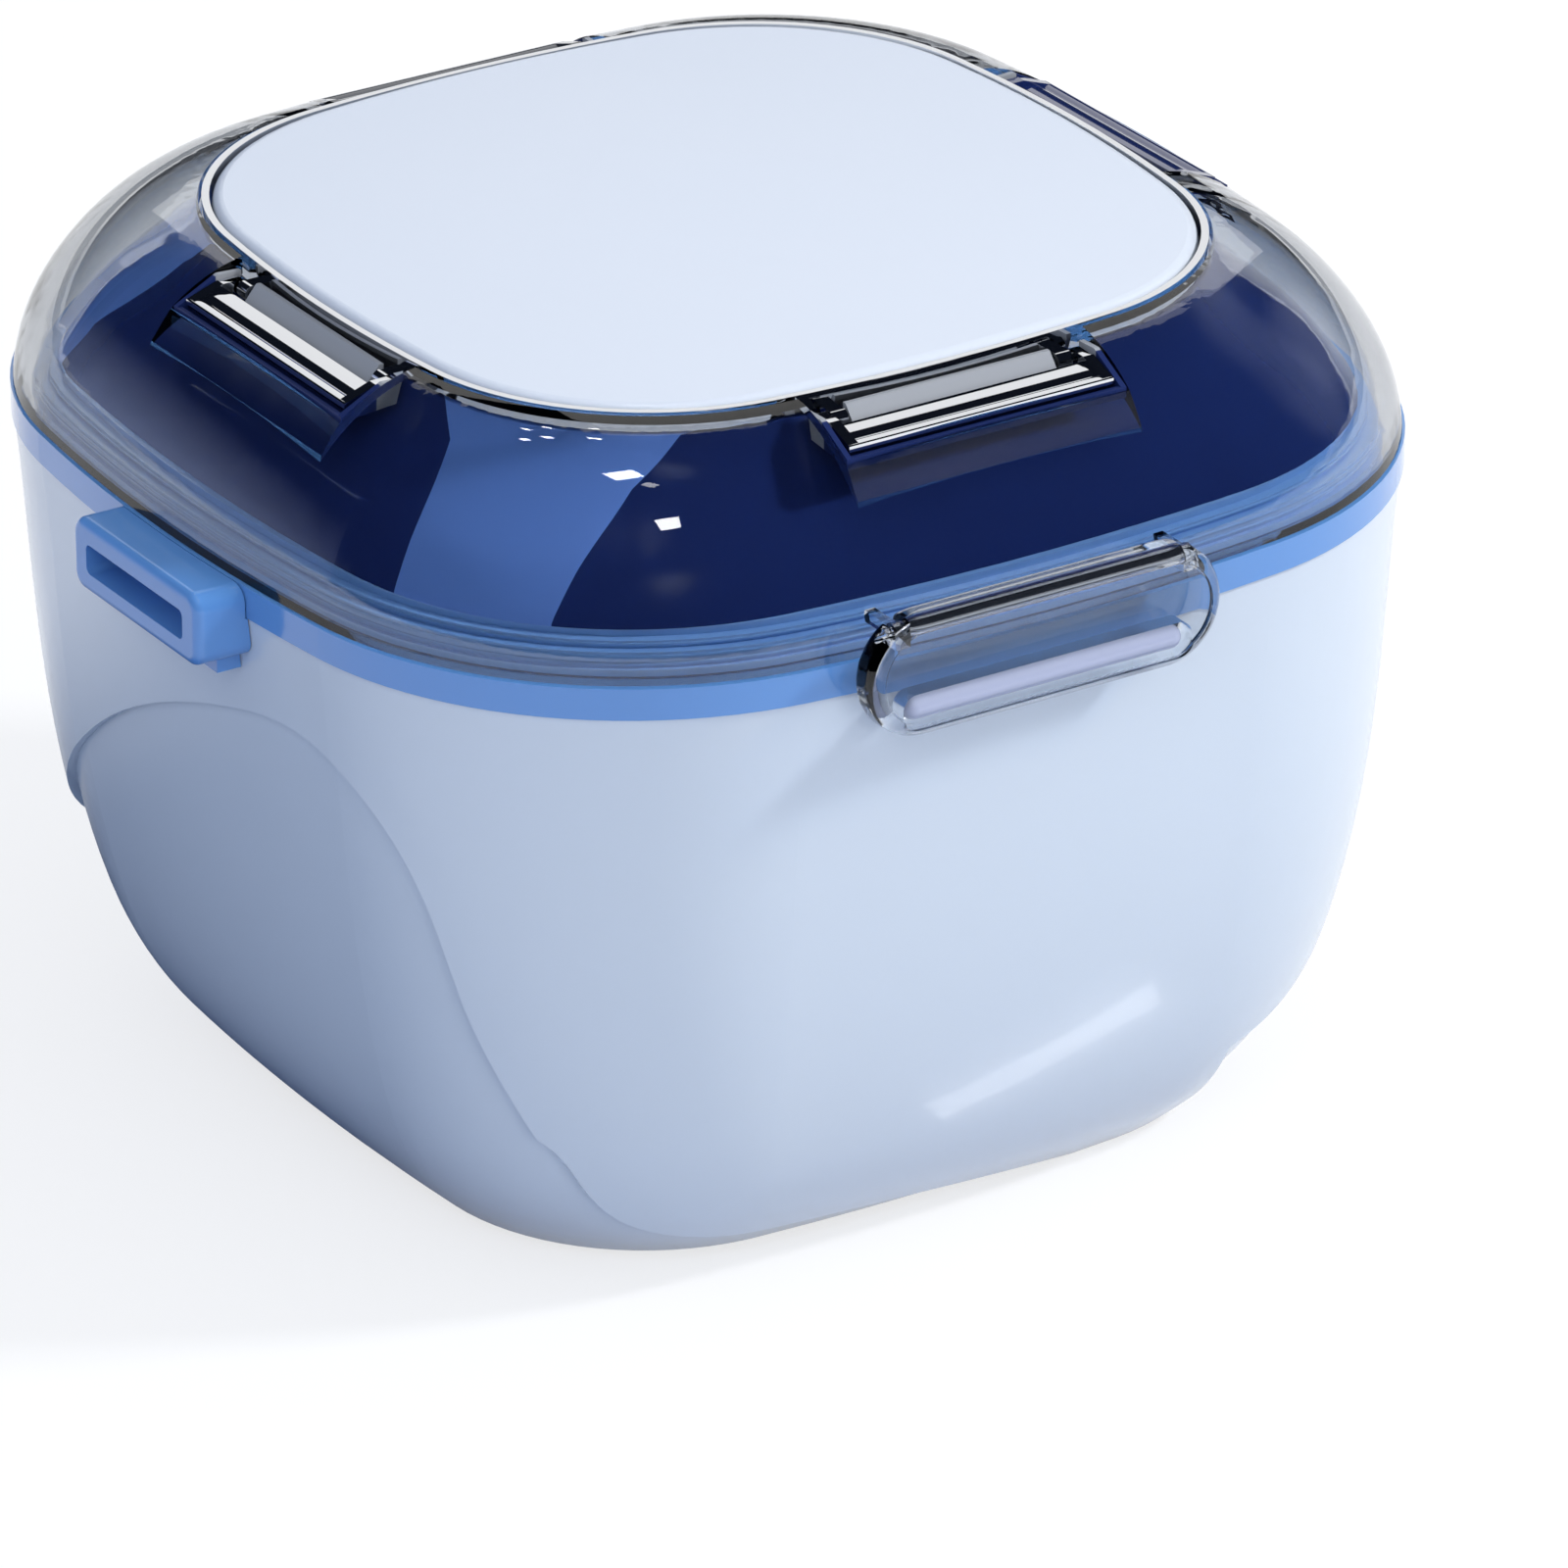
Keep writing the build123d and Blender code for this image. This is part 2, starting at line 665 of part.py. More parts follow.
def latch_lug(x_centre):
    """Lug of the lid that holds the latch pin."""
    pin_y, pin_z = latch_axis()
    half = LATCH_LUG_WIDTH / 2
    neck = LATCH_LUG_NECK / 2
    wall_y = -LID_HALF + LID_WALL
    eye = rod((x_centre - half, pin_y, pin_z), (x_centre + half, pin_y, pin_z), LATCH_EYE_RADIUS)
    return eye + box_between(
        (x_centre - half, pin_y, pin_z - neck), (x_centre + half, wall_y, pin_z + neck)
    )


def latch_lug_centres():
    return [LATCH_X + side * LATCH_LUG_SPACING / 2 for side in (-1, 1)]


def make_lid_shell():
    shell = lofted(lid_stations()) - lofted(run_down(lid_stations(-LID_WALL), OVERRUN))
    opening = slab(OPENING_HALF, PANEL_REACH, LINER_BASE_Z + OVERRUN, LID_TOP_Z + OVERRUN)
    shell = shell - opening - notch_cutters()
    for x_centre in latch_lug_centres():
        shell += latch_lug(x_centre)
    return shell - latch_pin_bore()


def make_seal_ring():
    low = RING_BASE_Z
    body = Part()
    for height, inset in RING_STEPS:
        body += slab(LID_HALF - LID_WALL - inset, RIM_REACH, low, low + height)
        low += height
    body -= slab(RING_INNER_HALF, RIM_REACH, RING_BASE_Z - OVERRUN, low + OVERRUN)
    return body - gasket_groove(RING_BASE_Z - OVERRUN)


def gasket_groove(low):
    """Groove over the collar's lip, which the gasket fills at its top."""
    outer = COLLAR_OUT_TO_LIP + SLIDE
    inner = COLLAR_INNER_HALF - SLIDE
    return ring(outer, inner, RIM_REACH, low, gasket_base() + GASKET_THICKNESS)


def gasket_base():
    return PARTING_Z + LIP_HEIGHT + LID_GAP


def make_gasket():
    outer = COLLAR_OUT_TO_LIP + SLIDE - BOND
    inner = COLLAR_INNER_HALF - SLIDE + BOND
    top = gasket_base() + GASKET_THICKNESS
    return ring(outer, inner, RIM_REACH, gasket_base(), top)


def strap_prism(mirrored):
    """Upright prism over one corner inlay; mirrored gives the corner on the hinge side."""
    flip = -1 if mirrored else 1
    corners = [(x, flip * y, LINER_BASE_Z - OVERRUN) for x, y in STRAP_OUTLINE]
    face = Face(Wire(Polyline(*corners, close=True).edges()))
    return Part() + Solid.extrude(face, Vector(0, 0, LINER_TOP_Z - LINER_BASE_Z + 2 * OVERRUN))


def liner_skin():
    """Outer skin of the liner dome, as deep as an inlay."""
    core = lofted(run_down(liner_stations(-STRAP_DEPTH), OVERRUN))
    return lofted(liner_stations()) - core


def make_strap(mirrored):
    return liner_skin() & strap_prism(mirrored)


def make_liner(straps):
    inner = run_down(liner_stations(-LINER_WALL), OVERRUN)
    below_ceiling = slab(LINER_HALF, LINER_REACH, LINER_BASE_Z - OVERRUN, LINER_CEILING_Z)
    hollow = lofted(inner) & below_ceiling
    liner = lofted(liner_stations()) - hollow
    for strap in straps:
        liner -= strap
    return liner


def make_mirror():
    low = LINER_CEILING_Z - MIRROR_THICKNESS
    return slab(MIRROR_HALF, PANEL_REACH, low, LINER_CEILING_Z)


def make_mirror_frame():
    outer = MIRROR_HALF + MIRROR_FRAME_WIDTH
    glass_low = LINER_CEILING_Z - MIRROR_THICKNESS
    frame_low = glass_low - MIRROR_FRAME_LIP
    wall = ring(outer, MIRROR_HALF + BOND, PANEL_REACH, glass_low, LINER_CEILING_Z)
    lip = ring(outer, MIRROR_HALF - MIRROR_FRAME_LIP, PANEL_REACH, frame_low, glass_low)
    return wall + lip


# ---------------------------------------------------------------- panel and pulls

def make_top_panel():
    """Plate with a slightly domed top and a rounded edge."""
    top_z = PANEL_BASE_Z + PANEL_THICKNESS
    dome_radius = (PANEL_HALF ** 2 + PANEL_CROWN ** 2) / (2 * PANEL_CROWN)
    dome = Pos(0, 0, top_z - dome_radius) * Sphere(dome_radius)
    panel = slab(PANEL_HALF, PANEL_REACH, PANEL_BASE_Z, top_z + OVERRUN) & dome
    top_edges = panel.faces().sort_by(Axis.Z)[-1].edges()
    return fillet(top_edges, PANEL_EDGE_ROUND)


def pull_axis_rod(low, high, radius):
    """Rod on the front pull's fold axis, from u = low to u = high."""
    start, end = (low, -PULL_PIVOT_V, PULL_PIVOT_Z), (high, -PULL_PIVOT_V, PULL_PIVOT_Z)
    return rod(start, end, radius)


def lug_span():
    """Inner and outer u of a bezel lug beside a pull's arm."""
    outer = PULL_HALF_LENGTH - PULL_ARM - PULL_SIDE_GAP
    return outer - LUG_WIDTH, outer


def make_bezel():
    body = ring(BEZEL_OUTER, BEZEL_INNER, PANEL_REACH, PANEL_BASE_Z, PANEL_BASE_Z + BEZEL_HEIGHT)
    inner_u, outer_u = lug_span()
    lugs = Part()
    for low, high in ((-outer_u, -inner_u), (inner_u, outer_u)):
        eye = pull_axis_rod(low, high, PULL_EYE_RADIUS)
        root = box_between(
            (low, -PULL_PIVOT_V, PANEL_BASE_Z),
            (high, -BEZEL_INNER, PULL_PIVOT_Z + PULL_EYE_RADIUS),
        )
        bore = pull_axis_rod(low - OVERRUN, high + OVERRUN, PULL_PIN_RADIUS + FIT)
        lugs += eye + root - bore
    for turn in range(4):
        body += beside_panel(lugs, turn)
    return body


def pull_bar_section():
    """Face of a pull's bar: a crowned back, a fine groove and a crowned lip."""
    inner, outer = Vector(0, -PULL_INNER, PULL_INNER_Z), Vector(0, -PULL_OUTER, PULL_OUTER_Z)
    up = Vector(0, 0, 1)
    groove = outer + (inner - outer) * (PULL_LIP / PULL_WIDTH) - up * PULL_GROOVE
    back = ThreePointArc(inner, (inner + groove) * 0.5 + up * PULL_CROWN, groove)
    lip = ThreePointArc(groove, (groove + outer) * 0.5 + up * PULL_LIP_CROWN, outer)
    low_lip, low_inner = outer - up * PULL_LIP_THICKNESS, inner - up * PULL_THICKNESS
    step = outer + (inner - outer) * (PULL_LIP / PULL_WIDTH) - up * PULL_THICKNESS
    rest = Polyline(outer, low_lip, step, low_inner, inner)
    return Face(Wire([back, lip] + list(rest.edges())))


def make_pull(turn):
    half = PULL_HALF_LENGTH
    bar = Pos(-half, 0, 0) * (Part() + Solid.extrude(pull_bar_section(), Vector(2 * half, 0, 0)))
    arm_outline = (
        (PULL_PIVOT_V, PULL_PIVOT_Z + PULL_EYE_RADIUS),
        (PULL_PIVOT_V + PULL_SHOULDER, PULL_PIVOT_Z + PULL_EYE_RADIUS),
        (PULL_OUTER, PULL_OUTER_Z),
        (PULL_OUTER, PULL_OUTER_Z - PULL_LIP_THICKNESS),
        (PULL_OUTER - PULL_LIP, PULL_OUTER_Z - PULL_THICKNESS),
        (PULL_INNER, PULL_INNER_Z - PULL_THICKNESS),
        (PULL_PIVOT_V, PULL_PIVOT_Z - PULL_EYE_RADIUS),
    )
    pull = bar
    for low, high in ((-half, -half + PULL_ARM), (half - PULL_ARM, half)):
        eye = pull_axis_rod(low, high, PULL_EYE_RADIUS)
        bore = pull_axis_rod(low - OVERRUN, high + OVERRUN, PULL_PIN_RADIUS + FIT)
        pull += side_prism(arm_outline, low, high) + eye - bore
    return beside_panel(pull, turn)


def make_pull_pins():
    inner_u = lug_span()[0]
    pins = Part()
    for low, high in ((-PULL_HALF_LENGTH, -inner_u), (inner_u, PULL_HALF_LENGTH)):
        pins += pull_axis_rod(low, high, PULL_PIN_RADIUS)
    group = Part()
    for turn in range(4):
        group += beside_panel(pins, turn)
    return group


def make_pull_cup(turn):
    """Tray under one pull: a slope down from the bezel, a floor, two ends and an outer wall."""
    inner = BEZEL_OUTER + SLIDE
    inner_floor = PULL_INNER_Z - PULL_THICKNESS - SLIDE
    outer_floor = PULL_OUTER_Z - PULL_THICKNESS - SLIDE
    slope_top = PANEL_BASE_Z + CUP_SLOPE_RISE
    rim_z = lid_surface_z(CUP_OUTER) - CUP_BELOW_LID
    wall = CUP_OUTER - CUP_WALL
    under = outer_floor - CUP_FLOOR
    floor_outline = (
        (PULL_PIVOT_V, inner_floor),
        (PULL_PIVOT_V, inner_floor - CUP_FLOOR),
        (CUP_OUTER, under),
        (CUP_OUTER, rim_z),
        (wall, rim_z),
        (wall, outer_floor),
    )
    slope_outline = (
        (inner, slope_top),
        (inner, slope_top - CUP_SLOPE_WALL),
        (PULL_PIVOT_V, inner_floor - CUP_FLOOR),
        (PULL_INNER, inner_floor - CUP_FLOOR),
        (PULL_INNER, inner_floor),
        (inner + CUP_SLOPE_WALL, slope_top),
    )
    end_outline = (
        (PULL_PIVOT_V, inner_floor - CUP_FLOOR),
        (CUP_OUTER, under),
        (CUP_OUTER, rim_z),
        (PULL_INNER, lid_surface_z(PULL_INNER) - CUP_BELOW_LID),
        (inner, slope_top),
        (inner, slope_top - CUP_SLOPE_WALL),
    )
    slope_half = lug_span()[0] - SLIDE
    cup = side_prism(floor_outline, -CUP_HALF, CUP_HALF)
    cup += side_prism(slope_outline, -slope_half, slope_half)
    for low, high in ((-CUP_HALF, -CUP_HALF + CUP_WALL), (CUP_HALF - CUP_WALL, CUP_HALF)):
        cup += side_prism(end_outline, low, high)
    return beside_panel(cup, turn) - lofted(liner_stations(BOND))


# ---------------------------------------------------------------- latch

def latch_pin_bore():
    pin_y, pin_z = latch_axis()
    half = LATCH_LENGTH / 2 + OVERRUN
    radius = LATCH_PIN_RADIUS + FIT
    return rod((LATCH_X - half, pin_y, pin_z), (LATCH_X + half, pin_y, pin_z), radius)


def make_latch_pin():
    pin_y, pin_z = latch_axis()
    half = LATCH_PIN_LENGTH / 2
    return rod((LATCH_X - half, pin_y, pin_z), (LATCH_X + half, pin_y, pin_z), LATCH_PIN_RADIUS)


def make_latch_plate():
    back_y = latch_face_y()
    plane = Plane(origin=(LATCH_X, back_y, LATCH_CENTRE_Z), x_dir=(1, 0, 0), z_dir=(0, -1, 0))
    plate = extrude(plane * SlotOverall(LATCH_LENGTH, LATCH_HEIGHT), LATCH_THICKNESS)
    plate = fillet(plate.faces().sort_by(Axis.Y)[0].edges(), LATCH_EDGE_ROUND)
    plate = fillet(plate.faces().sort_by(Axis.Y)[-1].edges(), LATCH_BACK_ROUND)
    floor = Plane(
        origin=(LATCH_X, back_y - LATCH_THICKNESS + LATCH_RECESS, LATCH_CENTRE_Z),
        x_dir=(1, 0, 0),
        z_dir=(0, -1, 0),
    )
    face = SlotOverall(LATCH_LENGTH - 2 * LATCH_RIM, LATCH_HEIGHT - 2 * LATCH_RIM)
    recess = extrude(floor * face, LATCH_RECESS + OVERRUN)
    plate -= fillet(recess.faces().sort_by(Axis.Y)[-1].edges(), LATCH_RECESS_ROUND)
    bar_y, bar_z = catch_centre()
    slot_half_length = CATCH_LENGTH / 2 + CATCH_RADIUS + SLOT_GAP
    slot_half_height = CATCH_RADIUS + SLOT_GAP
    front_y = back_y - LATCH_THICKNESS
    slot_low = (LATCH_X - slot_half_length, front_y - OVERRUN, bar_z - slot_half_height)
    slot_high = (LATCH_X + slot_half_length, back_y + OVERRUN, bar_z + slot_half_height)
    slot = fillet(box_between(slot_low, slot_high).edges().filter_by(Axis.Y), SLOT_CORNER)
    pin_y, pin_z = latch_axis()
    eye_room = LATCH_EYE_RADIUS + LATCH_POCKET_GAP / 2
    plate -= slot
    for x_centre in latch_lug_centres():
        half = LATCH_LUG_WIDTH / 2 + LATCH_POCKET_GAP
        plate -= box_between(
            (x_centre - half, pin_y - eye_room, pin_z - eye_room - LATCH_POCKET_GAP),
            (x_centre + half, back_y + OVERRUN, LATCH_CENTRE_Z + LATCH_HEIGHT),
        )
    return plate - latch_pin_bore()


# ---------------------------------------------------------------- basket

def basket_stations(inset, low, high):
    """Stations of the basket's wall between two heights, moved inwards by an inset."""
    stations = []
    for share, foot_share in BASKET_SHAPE:
        reach = BASE_REACH + (RIM_REACH - BASE_REACH) * share
        half = BASKET_HALF - BASKET_FOOT_INSET * foot_share - inset
        stations.append((low + share * (high - low), half, reach))
    return even_stations(stations)


def basket_inner_stations():
    """Stations of the basket's hollow, from its floor to past its rim."""
    return basket_stations(BASKET_WALL, BASKET_BOTTOM + BASKET_FLOOR, BASKET_TOP + OVERRUN)


def handle_axis_z():
    return BASKET_TOP - HANDLE_BELOW_TOP


def make_basket():
    rim_half = BASKET_HALF + BASKET_RIM_WIDTH
    rim = slab(rim_half, RIM_REACH, BASKET_TOP - BASKET_RIM_HEIGHT, BASKET_TOP)
    basket = lofted(basket_stations(0.0, BASKET_BOTTOM, BASKET_TOP)) + rim
    basket -= lofted(basket_inner_stations())
    feet_low = TUB_FLOOR + BASKET_SEAT_GAP
    for x in (-BASKET_FOOT_SPACING / 2, BASKET_FOOT_SPACING / 2):
        for y in (-BASKET_FOOT_SPACING / 2, BASKET_FOOT_SPACING / 2):
            top = (x, y, BASKET_BOTTOM + BASKET_FLOOR / 2)
            basket += rod((x, y, feet_low), top, BASKET_FOOT_RADIUS)
    middle = (DRAIN_ROWS - 1) / 2
    for row in range(DRAIN_ROWS):
        for column in range(DRAIN_ROWS):
            x, y = (row - middle) * DRAIN_PITCH, (column - middle) * DRAIN_PITCH
            low = (x, y, BASKET_BOTTOM - OVERRUN)
            high = (x, y, BASKET_BOTTOM + BASKET_FLOOR + OVERRUN)
            basket -= rod(low, high, DRAIN_RADIUS)
    reach = BASKET_HALF + OVERRUN
    vent_low = BASKET_BOTTOM + VENT_ABOVE_FLOOR
    vent_high = BASKET_TOP - VENT_BELOW_TOP
    for index in range(VENT_COUNT):
        along = (index - (VENT_COUNT - 1) / 2) * VENT_PITCH
        low, high = along - VENT_WIDTH / 2, along + VENT_WIDTH / 2
        basket -= box_between((low, -reach, vent_low), (high, reach, vent_high))
        basket -= box_between((-reach, low, vent_low), (reach, high, vent_high))
    axis_z = handle_axis_z()
    bore = rod((-reach, 0, axis_z), (reach, 0, axis_z), HANDLE_PIN_RADIUS + FIT)
    return basket - bore


def make_handle():
    """Low arch lying flat towards the latch, with a pin at each end through the basket wall."""
    axis_z = handle_axis_z()
    wall_x = half_at(basket_inner_stations(), axis_z - HANDLE_EYE_RADIUS)
    outer_x = wall_x - HANDLE_SIDE_GAP
    end_x = outer_x - HANDLE_WIDTH / 2
    radius = (end_x ** 2 + HANDLE_ARCH ** 2) / (2 * HANDLE_ARCH)
    centre_y = -HANDLE_ARCH + radius
    low = (0, centre_y, axis_z - HANDLE_THICKNESS / 2)
    high = (0, centre_y, axis_z + HANDLE_THICKNESS / 2)
    arch = rod(low, high, radius + HANDLE_WIDTH / 2) - rod(low, high, radius - HANDLE_WIDTH / 2)
    front = box_between(
        (-end_x, -HANDLE_ARCH - HANDLE_WIDTH, axis_z - HANDLE_THICKNESS),
        (end_x, 0, axis_z + HANDLE_THICKNESS),
    )
    handle = arch & front
    pin_end = BASKET_HALF
    for side in (-1, 1):
        low, high = sorted((side * (end_x - HANDLE_WIDTH / 2), side * outer_x))
        handle += rod((low, 0, axis_z), (high, 0, axis_z), HANDLE_EYE_RADIUS)
        low, high = sorted((side * end_x, side * pin_end))
        handle += rod((low, 0, axis_z), (high, 0, axis_z), HANDLE_PIN_RADIUS)
    return handle


# ---------------------------------------------------------------- all nodes

SIDES = ("front", "right", "back", "left")


def make_all():
    straps = {"corner_strap_front": make_strap(False), "corner_strap_back": make_strap(True)}
    nodes = {
        "tub": make_tub(),
        "rim_collar": make_rim_collar(),
        "side_loop": make_side_loop(),
        "catch_bar": make_catch_bar(),
        "tub_hinge_leaf": make_tub_hinge_leaf(),
        "hinge_pin": make_hinge_pin(),
        "lid_hinge_leaf": make_lid_hinge_leaf(),
        "lid_shell": make_lid_shell(),
        "lid_seal_ring": make_seal_ring(),
        "lid_gasket": make_gasket(),
        "lid_liner": make_liner(straps.values()),
        **straps,
        "mirror": make_mirror(),
        "mirror_frame": make_mirror_frame(),
        "top_panel": make_top_panel(),
        "panel_bezel": make_bezel(),
        "pull_pins": make_pull_pins(),
        "latch_plate": make_latch_plate(),
        "latch_pin": make_latch_pin(),
        "strainer_basket": make_basket(),
        "basket_handle": make_handle(),
    }
    for turn, side in enumerate(SIDES):
        nodes["pull_" + side] = make_pull(turn)
        nodes["pull_cup_" + side] = make_pull_cup(turn)
    return nodes


os.makedirs("parts", exist_ok=True)
for name, piece in make_all().items():
    export_step(piece, f"parts/{name}.step")
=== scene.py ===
import logging
import math
from dataclasses import dataclass, field
from enum import Enum

import bpy
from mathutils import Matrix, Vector


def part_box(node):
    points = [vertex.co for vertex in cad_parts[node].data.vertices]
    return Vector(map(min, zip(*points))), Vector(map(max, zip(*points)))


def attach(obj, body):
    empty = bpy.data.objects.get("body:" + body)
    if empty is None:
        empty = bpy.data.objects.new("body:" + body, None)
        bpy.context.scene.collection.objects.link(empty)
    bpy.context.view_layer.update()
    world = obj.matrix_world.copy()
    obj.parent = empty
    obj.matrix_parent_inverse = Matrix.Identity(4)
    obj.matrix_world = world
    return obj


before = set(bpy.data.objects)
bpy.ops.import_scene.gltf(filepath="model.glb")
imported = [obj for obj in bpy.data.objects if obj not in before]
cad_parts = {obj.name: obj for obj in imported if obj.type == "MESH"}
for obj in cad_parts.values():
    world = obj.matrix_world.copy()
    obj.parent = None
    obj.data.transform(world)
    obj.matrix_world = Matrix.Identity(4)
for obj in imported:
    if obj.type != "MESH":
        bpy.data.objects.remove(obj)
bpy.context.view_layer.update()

MM = 0.001
SMOOTH_BELOW = math.radians(40)
WELD_MM = 0.001

logging.basicConfig(level=logging.INFO, format="%(message)s")
log = logging.getLogger("denture_case")


# ---------------------------------------------------------------- colour and nodes

def linear(hex_colour: str) -> tuple[float, float, float, float]:
    """Turn an sRGB hex colour into the linear colour that the shaders use.

    Args:
        hex_colour: Six hex digits, such as "1c2a55".

    Returns:
        Red, green, blue and an alpha of 1.
    """
    channels = []
    for start in (0, 2, 4):
        value = int(hex_colour[start:start + 2], 16) / 255
        channels.append(value / 12.92 if value <= 0.04045 else ((value + 0.055) / 1.055) ** 2.4)
    return (channels[0], channels[1], channels[2], 1.0)


def add_node(
    tree: bpy.types.NodeTree,
    kind: str,
    settings: dict[str, object] | None = None,
    inputs: dict[str | int, object] | None = None,
) -> bpy.types.Node:
    """Add one node, set its properties and sockets, and link what is given as a socket.

    Args:
        tree: The tree that takes the node.
        kind: The node's Blender type name.
        settings: Properties of the node itself.
        inputs: Socket names or numbers with a value, or with an output socket to link.

    Returns:
        The new node.
    """
    made = tree.nodes.new(kind)
    for name, value in (settings or {}).items():
        setattr(made, name, value)
    for key, value in (inputs or {}).items():
        socket = made.inputs[key]
        if isinstance(value, bpy.types.NodeSocket):
            tree.links.new(value, socket)
        else:
            socket.default_value = value
    return made


def fresh_tree(name: str) -> tuple[bpy.types.Material, bpy.types.NodeTree]:
    """Make an empty node material.

    Args:
        name: The material's name.

    Returns:
        The material and its cleared node tree.
    """
    material = bpy.data.materials.new(name)
    material.use_nodes = True
    material.node_tree.nodes.clear()
    return material, material.node_tree


def relief(
    tree: bpy.types.NodeTree,
    place: bpy.types.NodeSocket,
    size_mm: float,
    height_mm: float,
    detail: float,
) -> bpy.types.NodeSocket:
    """Raise a soft, uneven relief on a surface.

    Args:
        tree: The material's tree.
        place: The coordinates that the relief follows.
        size_mm: Width of one swell of the relief.
        height_mm: Its height.
        detail: How many finer layers lie on it.

    Returns:
        The normal of the surface with the relief.
    """
    swell = add_node(tree, "ShaderNodeTexNoise", None, {
        "Vector": place, "Scale": 1 / (size_mm * MM), "Detail": detail})
    bump = add_node(tree, "ShaderNodeBump", None, {
        "Strength": 1.0, "Distance": height_mm * MM, "Height": swell.outputs["Fac"]})
    return bump.outputs["Normal"]


def towards(turn_degrees: float, rise_degrees: float) -> Vector:
    """Direction from the case to a point of the room.

    Args:
        turn_degrees: Turn about the vertical, from x towards y.
        rise_degrees: Height above the floor's horizon.

    Returns:
        The direction, one metre long.
    """
    turn, rise = math.radians(turn_degrees), math.radians(rise_degrees)
    flat = math.cos(rise)
    return Vector((flat * math.cos(turn), flat * math.sin(turn), math.sin(rise)))


def show_only_in_gloss(prop: bpy.types.Object, through_glass: bool = False) -> None:
    """Leave a prop of the set only to the shiny surfaces that mirror it.

    Args:
        prop: The prop.
        through_glass: Whether it also shows through clear plastic.
    """
    prop.visible_camera = False
    prop.visible_diffuse = False
    prop.visible_shadow = False
    prop.visible_transmission = through_glass


# ---------------------------------------------------------------- finishes

@dataclass(frozen=True)
class MouldedPlastic:
    """Injection-moulded plastic: an even body colour, a fine mould texture and a little gloss.

    A mould's etching is 0.1 to 0.2 mm wide. The grain is drawn coarser than that, so that it
    shows.
    """

    name: str
    colour: str
    shade: str
    roughness: float = 0.3
    roughness_spread: float = 0.15
    ior: float = 1.5
    coat: float = 0.0
    coat_roughness: float = 0.03
    grain_mm: float = 0.8
    grain_height_mm: float = 0.002
    patch_mm: float = 45.0

    def material(self) -> bpy.types.Material:
        """Build the material from the finish's own values.

        Returns:
            The finished material.
        """
        material, tree = fresh_tree(self.name)
        place = add_node(tree, "ShaderNodeTexCoord").outputs["Object"]
        cloud = add_node(tree, "ShaderNodeTexNoise", None, {
            "Vector": place, "Scale": 1 / (self.patch_mm * MM), "Detail": 2.0})
        colour = add_node(tree, "ShaderNodeMix", {"data_type": "RGBA"}, {
            0: cloud.outputs["Fac"], 6: linear(self.colour), 7: linear(self.shade)})
        rough = add_node(tree, "ShaderNodeMapRange", None, {
            "Value": cloud.outputs["Fac"],
            "To Min": self.roughness * (1 - self.roughness_spread),
            "To Max": self.roughness * (1 + self.roughness_spread)})
        shader = add_node(tree, "ShaderNodeBsdfPrincipled", None, {
            "Base Color": colour.outputs[2], "Roughness": rough.outputs["Result"],
            "Normal": relief(tree, place, self.grain_mm, self.grain_height_mm, 3.0),
            "IOR": self.ior, "Coat Weight": self.coat, "Coat Roughness": self.coat_roughness})
        add_node(tree, "ShaderNodeOutputMaterial", None, {"Surface": shader.outputs[0]})
        return material


@dataclass(frozen=True)
class TrayPlastic:
    """Moulded tray in two shots: satin grey inside, under the pull, and dull navy outside it.

    A blasted mould's grain is about 0.1 mm wide. It is drawn over three times as coarse, so that
    it shows.
    """

    name: str
    inner: str = "9a9da2"
    outer: str = "1b2a5c"
    edge_mm: float = 41.2
    edge_blend_mm: float = 0.05
    inner_roughness: float = 0.34
    outer_roughness: float = 0.45
    ior: float = 1.52
    shine: float = 0.12
    grain_mm: float = 0.35
    grain_height_mm: float = 0.006

    def material(self) -> bpy.types.Material:
        """Build the material from the finish's own values.

        Returns:
            The finished material.
        """
        material, tree = fresh_tree(self.name)
        place = add_node(tree, "ShaderNodeTexCoord").outputs["Object"]
        around = add_node(tree, "ShaderNodeVectorMath", {"operation": "ABSOLUTE"}, {0: place})
        apart = add_node(tree, "ShaderNodeSeparateXYZ", None, {0: around.outputs["Vector"]})
        out = add_node(tree, "ShaderNodeMath", {"operation": "MAXIMUM"}, {
            0: apart.outputs["X"], 1: apart.outputs["Y"]})
        shot = add_node(tree, "ShaderNodeMapRange", None, {
            "Value": out.outputs[0],
            "From Min": (self.edge_mm - self.edge_blend_mm) * MM,
            "From Max": (self.edge_mm + self.edge_blend_mm) * MM})
        colour = add_node(tree, "ShaderNodeMix", {"data_type": "RGBA"}, {
            0: shot.outputs["Result"], 6: linear(self.inner), 7: linear(self.outer)})
        rough = add_node(tree, "ShaderNodeMapRange", None, {
            "Value": shot.outputs["Result"], "To Min": self.inner_roughness,
            "To Max": self.outer_roughness})
        shader = add_node(tree, "ShaderNodeBsdfPrincipled", None, {
            "Base Color": colour.outputs[2], "Roughness": rough.outputs["Result"],
            "Normal": relief(tree, place, self.grain_mm, self.grain_height_mm, 2.0),
            "IOR": self.ior, "Specular IOR Level": self.shine})
        add_node(tree, "ShaderNodeOutputMaterial", None, {"Surface": shader.outputs[0]})
        return material


